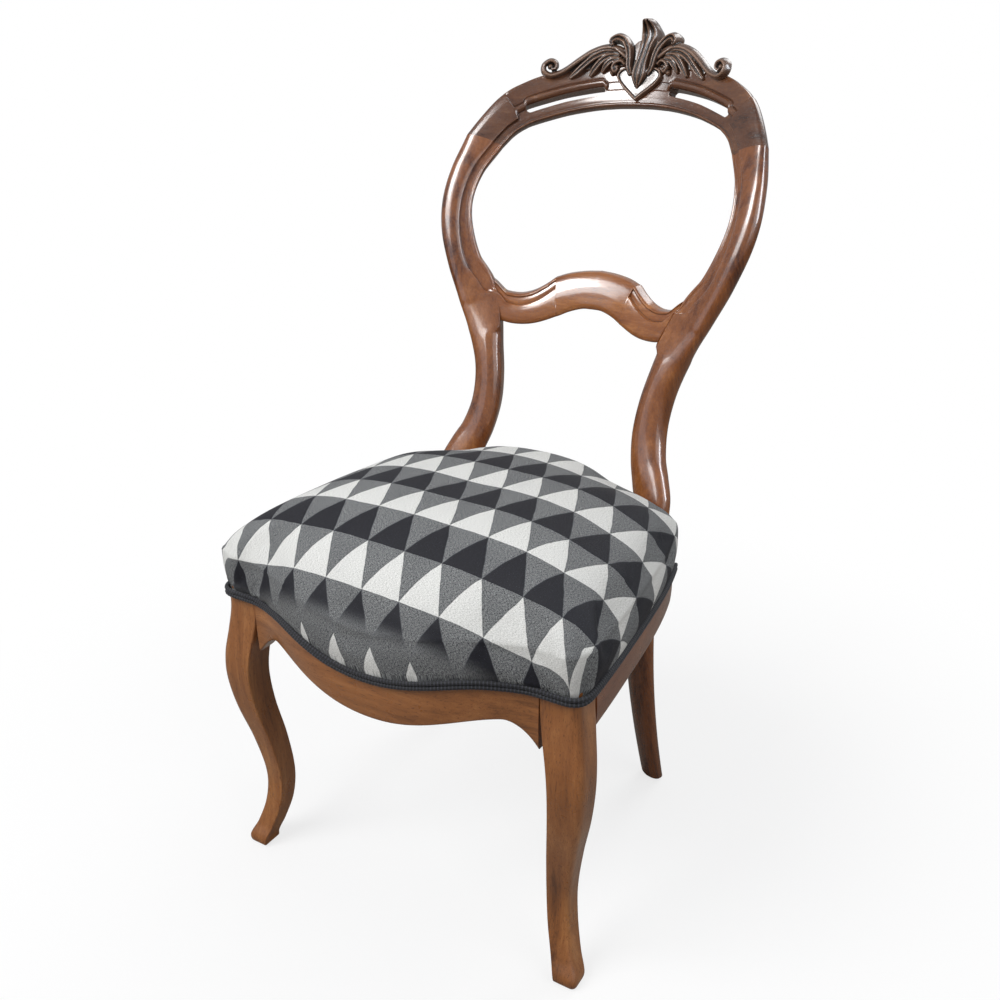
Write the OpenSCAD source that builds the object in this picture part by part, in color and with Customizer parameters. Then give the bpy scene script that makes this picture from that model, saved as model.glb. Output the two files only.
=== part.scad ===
// Balloon back dining chair: carved crest, serpentine front rail, cabriole front legs and a sprung seat.
// Millimetres, front towards -Y, feet on z = 0.

/* [Overall] */
// Height from the floor to the tip of the carved leaf
chair_h = 930; // [900:1:960]
// Width of the seat frame across its front corners
seat_w = 438; // [410:1:470]
// Depth of the seat frame from its front corners to the back of the rear rail
seat_d = 338; // [320:1:360]
// Height of the tops of the seat rails
rail_top_z = 362; // [345:1:380]

/* [Seat rails] */
// How far the front rail bows forward of its corners
front_bow = 37; // [20:1:45]
// How far the lower edge of the front rail drops in the middle
apron_drop = 30; // [15:1:35]
// How far the cover line dips in the middle of the front rail
cover_dip = 20; // [10:1:26]
// Height of wood that shows below the cover at the corners
show_h = 44; // [36:1:52]
// Height of the cover line below the tops of the rails
cover_drop = 18; // [14:1:24]
// Depth of the rebate that the cover is tacked in
rebate_d = 2; // [1:0.5:3]
// Thickness of the front and side rails
rail_t = 26; // [22:1:30]
// Thickness of the rear rail
rear_rail_t = 24; // [20:1:28]
// Height of the rear rail
rear_rail_h = 62; // [52:1:66]
// Radius of the arches where the rails meet the legs
arch_r = 24; // [18:1:30]

/* [Front legs] */
// Width of the leg block where the rails meet it
leg_w = 42; // [36:1:48]
// Depth of the leg block
leg_d = 37; // [34:1:44]
// Swing of the cabriole curve, either side of the corner
leg_swing = 14; // [8:1:18]
// Side of the leg at the ankle
ankle_w = 25; // [22:1:30]

/* [Rear legs and back] */
// Width of the balloon back
back_w = 412; // [380:1:440]
// Side of a post through the ring
post_w = 37; // [33:1:42]
// Depth of a post from front to back
post_t = 26; // [22:1:30]
// Angle that the back leans from upright
back_rake = 22.6; // [18:0.1:25]
// How far the back wraps forward from its middle to its sides
back_dish = 84; // [60:1:95]
// How far the middle of the back stands behind the seat frame, level with the rail tops
back_gap = 17; // [12:1:22]
// How far the waist of the posts bows forward of the back's line
back_bow = 19; // [0:1:24]
// How far the rear feet sweep back
rear_sweep = 196; // [170:1:210]
// Height where the rear legs begin to sweep back
knee_z = 330; // [310:1:345]
// From the tip of the carved leaf down to the joints between posts and crest
joint_drop = 138; // [128:1:148]
// Width of the moulded band round the opening
band_w = 13; // [10:0.5:15]
// Depth of the moulded band below the face
band_d = 4; // [2.5:0.5:5]

/* [Crest] */
// From the tip of the carved leaf down to the top of the opening, in the middle
opening_drop = 98; // [90:1:106]
// Width of the crest above the opening, in the middle
crest_w = 52; // [46:1:58]
// Thickness of the crest
crest_t = 22; // [19:1:26]
// Height of the two pierced slots
slot_h = 10; // [7:0.5:12]
// Relief of the carving, at the curled tip of its leaf
carving_relief = 22; // [16:0.5:26]

/* [Cross rail] */
// From the tip of the carved leaf down to the cross rail's raised middle
cross_drop = 290; // [280:1:302]
// Height of the cross rail from edge to edge in the middle
cross_h = 44; // [38:1:48]
// Thickness of the cross rail
cross_t = 22; // [19:1:25]

/* [Seat] */
// Height of the seat's crown above the rail tops
crown_h = 101; // [85:1:115]
// How far the cover swells past the rails
swell = 9; // [5:0.5:12]
// Thickness of the cover and its wadding
cover_t = 9; // [7:0.5:12]
// Diameter of one cord of the double piping
piping_d = 5; // [4:0.5:6]
// Number of turns in a seat spring
spring_turns = 4; // [4:1:6]
// Wire of a seat spring
spring_wire = 3.2; // [2.8:0.1:4]
// Width of a webbing strap
strap_w = 50; // [40:1:55]

/* [Hidden] */

// Gap between pieces that are pushed together
fit_gap = 0.15;
// Clearance between the soft layers of the seat, and round the posts
soft_gap = 0.4;
// How far a cut runs past the face that it opens
overrun = 2;
// Facets of one full turn on round pieces
$fn = 32;

// A cubic curve through every [place, value, ...] row of a table, read at place p from column k
function row_below(t, p, i = 0) = i >= len(t) - 2 || p < t[i + 1][0] ? i : row_below(t, p, i + 1);
function row_slope(t, i, k) =
    let (a = max(i - 1, 0), b = min(i + 1, len(t) - 1)) (t[b][k] - t[a][k]) / (t[b][0] - t[a][0]);
function curve(t, p, k = 1) =
    let (i = row_below(t, p), h = t[i + 1][0] - t[i][0], s = (p - t[i][0]) / h)
    t[i][k] * (1 + 2 * s) * (1 - s) * (1 - s) + t[i + 1][k] * s * s * (3 - 2 * s)
    + h * (row_slope(t, i, k) * s * (1 - s) * (1 - s) - row_slope(t, i + 1, k) * s * s * (1 - s));
function blend(a, b, s) = a + (b - a) * s;
function mean(v) = [for (i = [0 : len(v) - 1]) 1] * v / len(v);
module sided(left) {
    mirror([left ? 1 : 0, 0, 0]) children();
}

// A closed skin over rings of equal count, each anticlockwise as seen from the end of the stack
module loft(rings, first = undef, last = undef) {
    n = len(rings[0]);
    m = len(rings);
    head = is_undef(first) ? mean(rings[0]) : first;
    tail = is_undef(last) ? mean(rings[m - 1]) : last;
    sides = [
        for (j = [0 : m - 2], i = [0 : n - 1])
            let (a = j * n + i, b = j * n + (i + 1) % n) each [[a, a + n, b + n], [a, b + n, b]]
    ];
    heads = [for (i = [0 : n - 1]) [n * m, i, (i + 1) % n]];
    tails = [for (i = [0 : n - 1]) [n * m + 1, (m - 1) * n + (i + 1) % n, (m - 1) * n + i]];
    polyhedron([for (r = rings) each r, head, tail], concat(sides, heads, tails), 10);
}

// The back leans, wraps forward at its sides, and sweeps back again below the knee
sweep_power = 1.4;
half_back = back_w / 2;
back_set = seat_d + back_gap;
joint_z = chair_h - joint_drop;
opening_top_z = chair_h - opening_drop;
cross_z = chair_h - cross_drop;
function raked(z) = back_set + (z - rail_top_z) * tan(back_rake);
function swept(z) = z < knee_z ? rear_sweep * pow((knee_z - z) / knee_z, sweep_power) : 0;
bow_shares = [
    [0, 0], [0.4, 0], [0.505, 0.22], [0.593, 0.74], [0.682, 1], [0.77, 0.6], [0.859, 0.45], [0.934, 0.22], [1, 0], [1.2, 0],
];
function bowed(z) = back_bow * curve(bow_shares, z / joint_z);
function back_y(x, z) = raked(z) + swept(z) - bowed(z) - back_dish * pow(x / half_back, 2);
// The point at a depth behind the face, square to it in plan
function behind(x, z, d) =
    let (g = 2 * back_dish * x / half_back / half_back, c = 1 / norm([1, g])) [x + d * g * c, back_y(x, z) + d * c, z];

// Front rail: its face bows forward, its lower edge drops, and the line of the cover dips in the middle
half_seat = seat_w / 2;
rail_end_x = half_seat - leg_w;
cover_line_z = rail_top_z - cover_drop;
rail_bottom_z = cover_line_z - show_h;
corner_r = leg_w / 4;
dip_reach = 0.74;
drop_reach = 0.85;
function face_y(x) = -front_bow * pow(1 - min(1, pow(abs(x) / rail_end_x, 3)), 2);
function cover_z(x) = cover_line_z - cover_dip * pow(1 - min(1, pow(x / rail_end_x / dip_reach, 2)), 2);
apron_top_z = rail_bottom_z + show_h * 0.2;
function apron_z(x) =
    let (u = abs(x) / rail_end_x)
    apron_top_z - apron_drop * pow(1 - min(1, pow(u / drop_reach, 2)), 2)
    - (u > drop_reach ? arch_r * 0.5 * pow((u - drop_reach) / (1 - drop_reach), 2) : 0);

// Sides of the seat frame: [share of the depth, share of the half width]
side_shares = [[0, 1], [0.1, 0.997], [0.34, 0.965], [0.66, 0.907], [0.87, 0.842], [0.95, 0.79], [1, 0.74]];
side_end_y = seat_d * 1.02;
function side_x(y) = half_seat * curve(side_shares, y / side_end_y);

// Line of a rear post: [share of the joint height, share of half the back, share of the post's width]
post_shares = [
    [0, 0.704, 0.7], [0.076, 0.701, 0.73], [0.19, 0.689, 0.81], [0.316, 0.667, 0.92], [0.417, 0.646, 1.02],
    [0.505, 0.63, 1.12], [0.534, 0.592, 1.1], [0.562, 0.55, 0.995], [0.6, 0.523, 0.905], [0.641, 0.528, 0.835],
    [0.678, 0.555, 0.835], [0.726, 0.613, 1], [0.77, 0.692, 1.085], [0.814, 0.795, 0.83], [0.865, 0.864, 0.8],
    [0.915, 0.892, 0.843], [0.96, 0.875, 0.95], [1, 0.823, 1.16],
];
function post_x(z) = half_back * curve(post_shares, z / joint_z);
function post_width(z) = post_w * curve(post_shares, z / joint_z, 2);
function post_lean(z) = let (d = joint_z / 200) (post_x(z + d) - post_x(z - d)) / (2 * d);
function post_normal(z) = let (m = z >= joint_z ? post_lean(joint_z * 0.99) : post_lean(z)) [1, -m] / norm([1, m]);
function post_edge(z, side) = [post_x(z), z] + post_normal(z) * post_width(z) / 2 * side;

// Cross-section of a frame member from the edge at the opening outwards: [distance, depth below the face]
function moulded(w, t) = [
    [0, t * 0.8], [0, band_d + t * 0.08], [band_w * 0.12, band_d], [band_w * 0.6, band_d * 0.85],
    [band_w * 0.96, band_d * 1.15], [band_w, t * 0.03], [blend(band_w, w, 0.25), 0],
    [blend(band_w, w, 0.55), t * 0.03], [blend(band_w, w, 0.84), t * 0.14], [w, t * 0.34], [w, t * 0.56],
    [w * 0.92, t * 0.8], [w * 0.72, t * 0.96], [w * 0.3, t], [w * 0.06, t * 0.95],
];
function rounded(w, t) = [
    [0, t * 0.78], [0, t * 0.3], [w * 0.04, t * 0.16], [w * 0.13, t * 0.06], [w * 0.23, t * 0.02],
    [w * 0.34, 0], [w * 0.5, t * 0.01], [w * 0.68, t * 0.05], [w * 0.87, t * 0.16], [w, t * 0.38], [w, t * 0.6],
    [w * 0.93, t * 0.83], [w * 0.72, t * 0.97], [w * 0.28, t], [w * 0.06, t * 0.94],
];
// The section set from edge a to edge b in the plane of the back, on the curved face
function member_ring(a, b, t, mould) =
    let (w = norm(b - a), n = (b - a) / w, p = moulded(w, t), q = rounded(w, t))
    [
        for (i = [0 : len(p) - 1])
            let (s = blend(q[i], p[i], mould)) behind(a.x + n.x * s.x, a.y + n.y * s.x, s.y)
    ];

// Height where the moulded band of the ring begins on the post
band_low_z = cross_z - cross_h * 0.775;
band_full_z = cross_z - cross_h * 0.325;
depth_shares = [
    [0, 0.8], [0.2, 0.95], [0.42, 1.18], [0.53, 1.21], [0.6, 1.44], [0.68, 1.55], [0.76, 1.22], [0.87, 1.08], [1, 0.93],
];
function post_depth(z) = post_t * curve(depth_shares, z / joint_z);
function post_mould(z) = min(1, max(0, (z - band_low_z) / (band_full_z - band_low_z)));
toe_h = ankle_w * 0.16;
post_stations = 36;
function post_ring(z) = member_ring(post_edge(z, -1), post_edge(z, 1), post_depth(z), post_mould(z));
function post_rings() = concat(
    [for (z = [0, toe_h * 0.35, toe_h]) worn(post_ring(z), z)],
    [for (i = [1 : post_stations]) post_ring(joint_z * i / post_stations)]
);

// Where the side of a post lies at a depth y and a height, on its outer or inner side
function side_slope(x) = 2 * back_dish * x / half_back / half_back;
function post_side(y, z, side) =
    let (x = post_x(z) + side * post_width(z) / 2) x + (y - back_y(x, z)) * side_slope(x) + side * fit_gap;

// Dowels of the seat frame, drawn again with a grown end for the holes that they sit in
dowel_d = 8;
dowel_len = 38;
hole_d = dowel_d + fit_gap;
frame_dowel_zs = [blend(rail_bottom_z, rail_top_z, 0.34), blend(rail_bottom_z, rail_top_z, 0.72)];
front_dowel_y = rail_t / 2;
side_dowel_x = half_seat - rail_t / 2;
rear_dowel_y = seat_d - rear_rail_t / 2;
module rod(a, b, d) {
    v = b - a;
    translate(a) rotate([0, acos(v.z / norm(v)), atan2(v.y, v.x)]) cylinder(h = norm(v), d = d);
}
module frame_dowels(d, grow) {
    half = dowel_len / 2 + grow;
    for (z = frame_dowel_zs, s = [-1, 1]) {
        rod([s * (rail_end_x - half), front_dowel_y, z], [s * (rail_end_x + half), front_dowel_y, z], d);
        rod([s * side_dowel_x, leg_d - half, z], [s * side_dowel_x, leg_d + half, z], d);
        x_in = post_side(rear_dowel_y, z, -1);
        rod([s * (x_in - half), rear_dowel_y, z], [s * (x_in + half * 0.7), rear_dowel_y, z], d);
        foot = behind(post_edge(z, 1).x, z, post_depth(z) * 0.4);
        way = [1, -side_slope(foot.x), 0] / norm([1, side_slope(foot.x)]) * half * 0.8;
        rod([s * (foot.x - way.x), foot.y - way.y, z], [s * (foot.x + way.x), foot.y + way.y, z], d);
    }
}

// The worn toe of a foot, drawn in towards the floor
function worn(ring, z) =
    let (m = mean(ring), k = z >= toe_h ? 1 : z > 0 ? 0.93 : 0.8)
    [for (p = ring) [m.x + (p.x - m.x) * k, m.y + (p.y - m.y) * k, z]];

// Cabriole leg: [share of the height, share of the swing outwards, share from ankle to block width]
leg_shares = [
    [0, 0.35, 0], [0.028, 0.42, 0.1], [0.077, -0.15, 0], [0.166, -0.78, 0], [0.27, -0.97, 0.04], [0.414, -0.45, 0.3],
    [0.55, 0.32, 0.6], [0.663, 0.68, 0.78], [0.746, 0.62, 0.88], [0.829, 0.28, 0.97], [0.91, 0, 1], [1, 0, 1],
];
leg_stations = 30;
function leg_ring(z) =
    let (
        u = z / rail_top_z, off = leg_swing * curve(leg_shares, u), s = curve(leg_shares, u, 2),
        cut = z > cover_line_z ? rebate_d : 0, wx = blend(ankle_w, leg_w, s), wy = blend(ankle_w, leg_d, s),
        x = half_seat + off - cut, y = -off + cut, r = blend(ankle_w * 0.42, corner_r, max(0, s)), e = ankle_w * 0.08
    )
    [
        [half_seat + off - wx, y, z],
        for (a = [-90 : 22.5 : 0]) [x - r + r * cos(a), y + r + r * sin(a), z],
        [x, -off + wy - e, z], [x - e, -off + wy, z], [half_seat + off - wx, -off + wy, z],
    ];
leg_zs = concat([0, toe_h * 0.35, toe_h], [for (i = [1 : leg_stations - 1]) cover_line_z * i / (leg_stations - 1)],
    [cover_line_z + rebate_d * 0.1, rail_top_z]);
function leg_rings() = [for (z = leg_zs) worn(leg_ring(z), z)];
module front_leg(left) {
    color("#a5683f") in_frame() difference() {
        sided(left) loft(leg_rings());
        frame_dowels(hole_d, fit_gap);
    }
}
module front_leg_left() { front_leg(true); }
module front_leg_right() { front_leg(false); }

module rear_post(left) {
    color("#7d4327") in_frame() difference() {
        sided(left) loft(post_rings());
        frame_dowels(hole_d, fit_gap);
        back_dowels(hole_d, fit_gap);
    }
}
module rear_post_left() { rear_post(true); }
module rear_post_right() { rear_post(false); }

// Crest: [share of the way in along the opening's edge, its rise, the same two along the top edge, slot, moulded end]
crest_shares = [
    [0, 1, 0, 1, 0, 0], [0.137, 0.992, 0.124, 1, 0, 0], [0.231, 0.973, 0.207, 0.994, 0, 0],
    [0.268, 0.965, 0.243, 0.99, 1, 0], [0.347, 0.935, 0.31, 0.973, 1, 0], [0.415, 0.9, 0.369, 0.95, 1, 0],
    [0.489, 0.857, 0.439, 0.92, 1, 0], [0.563, 0.806, 0.511, 0.88, 1, 0], [0.631, 0.745, 0.579, 0.843, 1, 0],
    [0.695, 0.682, 0.643, 0.8, 1, 0], [0.751, 0.625, 0.7, 0.75, 1, 0], [0.825, 0.538, 0.772, 0.668, 1, 0],
    [0.852, 0.49, 0.806, 0.622, 0, 0], [0.873, 0.45, 0.832, 0.575, 0, 0], [0.884, 0.428, 0.845, 0.552, 0, 1],
    [0.911, 0.36, 0.88, 0.464, 0, 1], [0.94, 0.27, 0.918, 0.337, 0, 1], [0.97, 0.14, 0.96, 0.175, 0, 1],
    [1, 0, 1, 0, 0, 1],
];
end_in = post_edge(joint_z, -1);
end_out = post_edge(joint_z, 1);
crest_top_z = opening_top_z + crest_w;
bead_w = slot_h * 0.95;
slot_foot = band_w * 1.05;
slot_head = slot_foot + slot_h;
bead_top = slot_head + bead_w;
// Rows of the crest from the opening upwards: [distance, depth at the carved middle, depth at the moulded end]
function crest_rows(w, plain) = [
    [0, band_d * 1.2, band_d + crest_t * 0.08], [band_w, band_d, band_d * 1.1], [slot_foot, band_d, crest_t * 0.03],
    [slot_head, band_d, 0], [blend(slot_head, bead_top, 0.35), band_d * (plain ? 0.8 : 0.3), 0],
    [blend(slot_head, bead_top, 0.7), band_d * (plain ? 0.8 : 0.35), crest_t * 0.02],
    [bead_top, band_d * (plain ? 0.8 : 1.1), crest_t * 0.04],
    [blend(bead_top, w, 0.12), band_d * 0.8, crest_t * 0.06], [w * 0.93, band_d * 0.8, crest_t * 0.16],
    [w, band_d * 1.2, crest_t * 0.35],
];
crest_last = len(crest_shares) - 1;
function crest_station(i) = crest_shares[abs(i)];
function crest_edge(i, k, end, top) =
    let (s = crest_station(i), x = end.x * s[k]) [i < 0 ? -x : x, blend(end.y, top, s[k + 1])];
function crest_ring(i) =
    let (
        a = crest_edge(i, 0, end_in, opening_top_z), b = crest_edge(i, 2, end_out, crest_top_z),
        w = norm(b - a), n = (b - a) / w, m = crest_station(i)[5], rows = crest_rows(w, abs(i) < 3), e = crest_t * 0.08,
        front = [for (r = rows) [r[0], blend(r[1], r[2], m)]],
        last = len(rows) - 1,
        back = [for (j = [last : -1 : 0]) [rows[j][0], crest_t * (j == last ? 0.52 : j == last - 1 ? 0.84 : 1) - (j == 0 ? e : 0)]]
    )
    [for (s = concat(front, back)) behind(a.x + n.x * s.x, a.y + n.y * s.x, s.y)];
module slotted_loft(rings, slot) {
    n = len(rings[0]);
    m = len(rings);
    f = 2;
    g = n - 1 - f;
    inside = [for (j = [0 : m - 2]) slot[j] && slot[j + 1]];
    skin = [
        for (j = [0 : m - 2], i = [0 : n - 1])
            if (!(inside[j] && (i == f || i == g - 1)))
                let (a = j * n + i, b = j * n + (i + 1) % n) each [[a, a + n, b + n], [a, b + n, b]]
    ];
    walls = [
        for (j = [0 : m - 2], w = [[f, g], [g - 1, f + 1]])
            if (inside[j]) let (a = j * n + w[0], b = j * n + w[1]) each [[a, a + n, b + n], [a, b + n, b]]
    ];
    ends = [
        for (j = [1 : m - 2])
            let (o = j * n, q = [o + f, o + f + 1, o + g - 1, o + g])
            if (inside[j] && !inside[j - 1]) each [[q[3], q[2], q[1]], [q[3], q[1], q[0]]]
            else if (!inside[j] && inside[j - 1]) each [[q[0], q[1], q[2]], [q[0], q[2], q[3]]]
    ];
    heads = [for (i = [0 : n - 1]) [n * m, i, (i + 1) % n]];
    tails = [for (i = [0 : n - 1]) [n * m + 1, (m - 1) * n + (i + 1) % n, (m - 1) * n + i]];
    points = [for (r = rings) each r, mean(rings[0]), mean(rings[m - 1])];
    polyhedron(points, concat(skin, walls, ends, heads, tails), 10);
}
crest_dowel_d = 7;
cross_dowel_d = 7;
back_dowel_half = 15;
module back_dowels(d, grow) {
    crest_dowels_at(d, grow);
    cross_dowels_at(d, grow);
}
module crest_dowels_at(d, grow) {
    along = post_normal(joint_z);
    up = [-along.y, along.x] * (back_dowel_half + grow);
    for (s = [-1, 1], u = [0.36, 0.7]) {
        p = blend(end_in, end_out, u);
        a = behind(p.x - up.x, p.y - up.y, crest_t * 0.52);
        b = behind(p.x + up.x, p.y + up.y, crest_t * 0.52);
        rod([s * a.x, a.y, a.z], [s * b.x, b.y, b.z], d);
    }
}
cross_dowel_zs = [cross_z - cross_h * 1.335, cross_z - cross_h * 0.885];
module cross_dowels_at(d, grow) {
    for (s = [-1, 1], z = cross_dowel_zs) {
        p = post_edge(z, -1);
        q = [back_dowel_half + grow, 0];
        a = behind(p.x - q.x, p.y - q.y, cross_t * 0.52);
        b = behind(p.x + q.x * 0.8, p.y + q.y, cross_t * 0.52);
        rod([s * a.x, a.y, a.z], [s * b.x, b.y, b.z], d);
    }
}
module crest_rail() {
    rows = [for (i = [crest_last : -1 : -crest_last]) i];
    color("#5d3a26") in_frame() difference() {
        slotted_loft([for (i = rows) crest_ring(i)], [for (i = rows) crest_station(i)[4] == 1]);
        crest_dowels_at(hole_d - dowel_d + crest_dowel_d, fit_gap);
    }
}

// Cross rail: [share out to the post, drop of the top edge, the same two for the lower edge, moulded band]
cross_shares = [
    [0, 0, 0, 0, 0], [0.15, 0.05, 0.12, 0.03, 0], [0.3, 0.16, 0.26, 0.26, 0], [0.41, 0.31, 0.37, 0.54, 0],
    [0.44, 0.37, 0.41, 0.62, 1], [0.5, 0.58, 0.5, 0.83, 1], [0.58, 0.8, 0.6, 1.02, 1], [0.66, 0.94, 0.7, 1.13, 1],
    [0.75, 1, 0.8, 1.16, 1], [0.87, 0.93, 0.9, 1.12, 1], [1, 0.7, 1, 1, 1],
];
cross_dip = 31;
cross_last = len(cross_shares) - 1;
cross_end_low = post_edge(cross_z - cross_h * 1.586, -1);
cross_end_high = post_edge(cross_z - cross_h * 0.595, -1);
function cross_ring(i) =
    let (
        s = cross_shares[abs(i)], side = i < 0 ? -1 : 1,
        b = [side * (cross_end_low.x - fit_gap) * s[2], blend(cross_z - cross_h, cross_end_low.y, s[3])],
        a = [side * (cross_end_high.x - fit_gap) * s[0],
            abs(i) == cross_last ? cross_end_high.y : cross_z - cross_dip * s[1]]
    ) member_ring(a, b, cross_t, s[4]);
module cross_rail() {
    color("#8d5533") in_frame() difference() {
        loft([for (i = [-cross_last : cross_last]) cross_ring(i)]);
        cross_dowels_at(hole_d - dowel_d + cross_dowel_d, fit_gap);
    }
}
module crest_dowels() { color("#c49a6c") in_frame() crest_dowels_at(crest_dowel_d, 0); }
module cross_rail_dowels() { color("#c49a6c") in_frame() cross_dowels_at(cross_dowel_d, 0); }
module seat_frame_dowels() { color("#c49a6c") in_frame() frame_dowels(dowel_d, 0); }

// Seat rails
face_swell = rail_t * 0.05;
edge_r = rail_t * 0.12;
rail_stations = 28;
function front_ring(x) =
    let (y = face_y(x), zc = cover_z(x), zb = apron_z(x), h = zc - zb)
    [
        [x, y + rail_t, rail_top_z], [x, y + rebate_d, rail_top_z], [x, y + rebate_d, zc + rebate_d * 0.1], [x, y, zc],
        [x, y - face_swell * 0.8, zc - h * 0.3], [x, y - face_swell, zc - h * 0.6], [x, y - face_swell * 0.3, zb + edge_r],
        [x, y + edge_r, zb], [x, y + rail_t - edge_r, zb], [x, y + rail_t, zb + edge_r],
    ];
module front_rail() {
    color("#a8673d") in_frame() difference() {
        loft([for (i = [-rail_stations / 2 : rail_stations / 2]) front_ring(rail_end_x * 2 * i / rail_stations)]);
        frame_dowels(hole_d, fit_gap);
        block_screw_holes();
    }
}
side_stations = 16;
function inner_x(y, z) = max(side_x(y) - rail_t, y > seat_d * 0.8 ? post_side(y, z, 1) : 0);
function side_ring(y) =
    let (x = side_x(y), zc = cover_line_z, zb = rail_bottom_z, h = zc - zb, e = edge_r)
    [
        [inner_x(y, rail_top_z), y, rail_top_z], [x - rebate_d, y, rail_top_z], [x - rebate_d, y, zc + rebate_d * 0.1],
        [x, y, zc], [x + face_swell * 0.8, y, zc - h * 0.3], [x + face_swell, y, zc - h * 0.6],
        [x + face_swell * 0.3, y, zb + e], [x - e * 0.8, y, zb], [inner_x(y, zb), y, zb],
    ];
side_rail_end_y = seat_d * 0.965;
module side_rail(left) {
    rings = [for (i = [0 : side_stations]) side_ring(blend(leg_d, side_rail_end_y, i / side_stations))];
    color("#96592f") in_frame() difference() {
        sided(left) loft(rings);
        frame_dowels(hole_d, fit_gap);
        block_screw_holes();
    }
}
module side_rail_left() { side_rail(true); }
module side_rail_right() { side_rail(false); }
rear_bottom_z = rail_top_z - rear_rail_h;
module rear_rail() {
    ys = [seat_d - rear_rail_t, seat_d];
    inner = ys[0];
    section = [[ys[1] - rebate_d, rail_top_z], [inner, rail_top_z], [inner, rear_bottom_z], [ys[1], rear_bottom_z],
        [ys[1], cover_line_z], [ys[1] - rebate_d, cover_line_z + rebate_d * 0.1]];
    function end(s) = [for (q = section) [s * post_side(q.x, q.y, -1), q.x, q.y]];
    color("#8a5430") in_frame() difference() {
        loft([end(-1), end(1)]);
        frame_dowels(hole_d, fit_gap);
        block_screw_holes();
    }
}

// Thickness of the cover's turned lip on the rebate
lip_t = cover_t * 0.2;

// Carving, drawn in units of a 75th of its height above the shield's point
shield_z = opening_top_z + band_w * 0.4;
unit = (chair_h - shield_z) / 75;
relief = carving_relief / 18;
ground_d = band_d * 0.8 - fit_gap;
crest_top_rows = [for (s = crest_shares) [s[2], s[3]]];
function crest_top(x) = blend(end_out.y, crest_top_z, curve(crest_top_rows, min(1, abs(x) / end_out.x)));
// Rows of a carved lobe: [across, up, half width, relief, set back, reach behind the ground]
stem_rows = [
    [20, 45, 2, 5, 0, 0], [28, 48, 3, 7, 0, 0], [40, 49, 3.4, 8, 0, 0], [53, 45, 3.4, 8, 0, 0], [64, 38, 3.2, 8, 0, 0],
    [75, 29.5, 3, 8, 0, 0], [83, 25, 3, 8, 0, 0], [91, 23.5, 2.8, 8, 0, 0], [97, 27, 2.7, 9, 0, 0],
    [98, 33, 2.6, 9, 0, 0], [93, 37, 2.5, 9, 0, 0], [87.5, 35, 2.4, 8, 0, 0], [86.5, 30.5, 2.2, 7, 0, 0],
    [90.5, 28.5, 1.6, 6, 0, 0],
];
leaf_a_rows = [
    [27, 44, 2, 5, 0, 0], [39, 44.5, 3.6, 7, 0, 0], [50, 40.5, 4.2, 8, 0, 0], [59, 33, 3.8, 7.5, 0, 0],
    [66, 26, 2.8, 6, 0, 0], [72.5, 20, 0.5, 2, 0, 0],
];
leaf_b_rows = [
    [25, 41, 2, 5, 0, 0], [34.5, 41, 3.4, 7, 0, 0], [42.5, 36.5, 4, 8, 0, 0], [48.5, 29, 3.2, 6.5, 0, 0],
    [52, 21.5, 0.5, 2, 0, 0],
];
leaf_c_rows = [[23, 38, 2, 5, 0, 0], [31.5, 37, 3.2, 7, 0, 0], [37.5, 32, 3, 6.5, 0, 0], [41, 25, 0.5, 2, 0, 0]];
curl_rows = [
    [17.5, 33, 1.8, 6, 0, 0], [22, 36.5, 2.2, 8, 0, 0], [27.5, 35, 2.2, 8.5, 0, 0], [30, 30.5, 2, 8, 0, 0],
    [27, 26.5, 1.9, 7, 0, 0], [24, 29.5, 1.4, 6, 0, 0],
];
frond_rows = [
    [9, 24, 2.4, 6, 0, 0], [12.5, 31, 3.2, 8, 0, 0], [14, 40, 3.6, 9, 0, 0], [16.5, 48, 4, 10, 1, 7],
    [22, 55.5, 4.2, 10, 2, 8], [29.5, 58.5, 4, 11, 1, 7], [35, 55.5, 3.4, 12, 0, 5], [33.5, 51, 1.8, 11, 0, 3],
];
sprig_rows = [[16, 38, 1.6, 5, 0, 0], [22, 43, 2.6, 7, 0, 0], [30.5, 48, 2, 7, 0, 0], [35, 49, 0.8, 4, 0, 0]];
tongue_rows = [
    [0, 11.5, 0.6, 4, 0, 0], [0.2, 16.5, 5, 8, 0, 0], [0.5, 24, 9, 11, 0, 0], [0.8, 33, 8, 11, 0, 0],
    [1.2, 41.6, 7.4, 10, 1, 3], [1.5, 52, 8, 10, 4, 8], [1.6, 61, 10.5, 10, 6, 8], [0.6, 68, 8.5, 13, 4, 8],
    [0.2, 73.2, 5.5, 18, 1, 6], [0.2, 75, 2.5, 17, 0, 0],
];
shield_rows = [
    [0, 0, 0.6, 1.5, 0, 0], [0, 4, 6.5, 2.6, 0, 0], [0, 9, 13, 3, 0, 0], [0, 15, 19.5, 3, 0, 0], [0, 21, 23.5, 3, 0, 0],
    [0, 26, 22, 3, 0, 0], [0, 30.5, 12, 3, 0, 0],
];
// Sections of a lobe: [share across, share of the relief]
fluted = [[1, 0], [0.84, 0.55], [0.46, 1], [0, 0.6], [-0.46, 1], [-0.84, 0.55], [-1, 0]];
bowed = [[1, 0], [0.8, 0.62], [0.3, 1], [-0.3, 1], [-0.8, 0.62], [-1, 0]];
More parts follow.
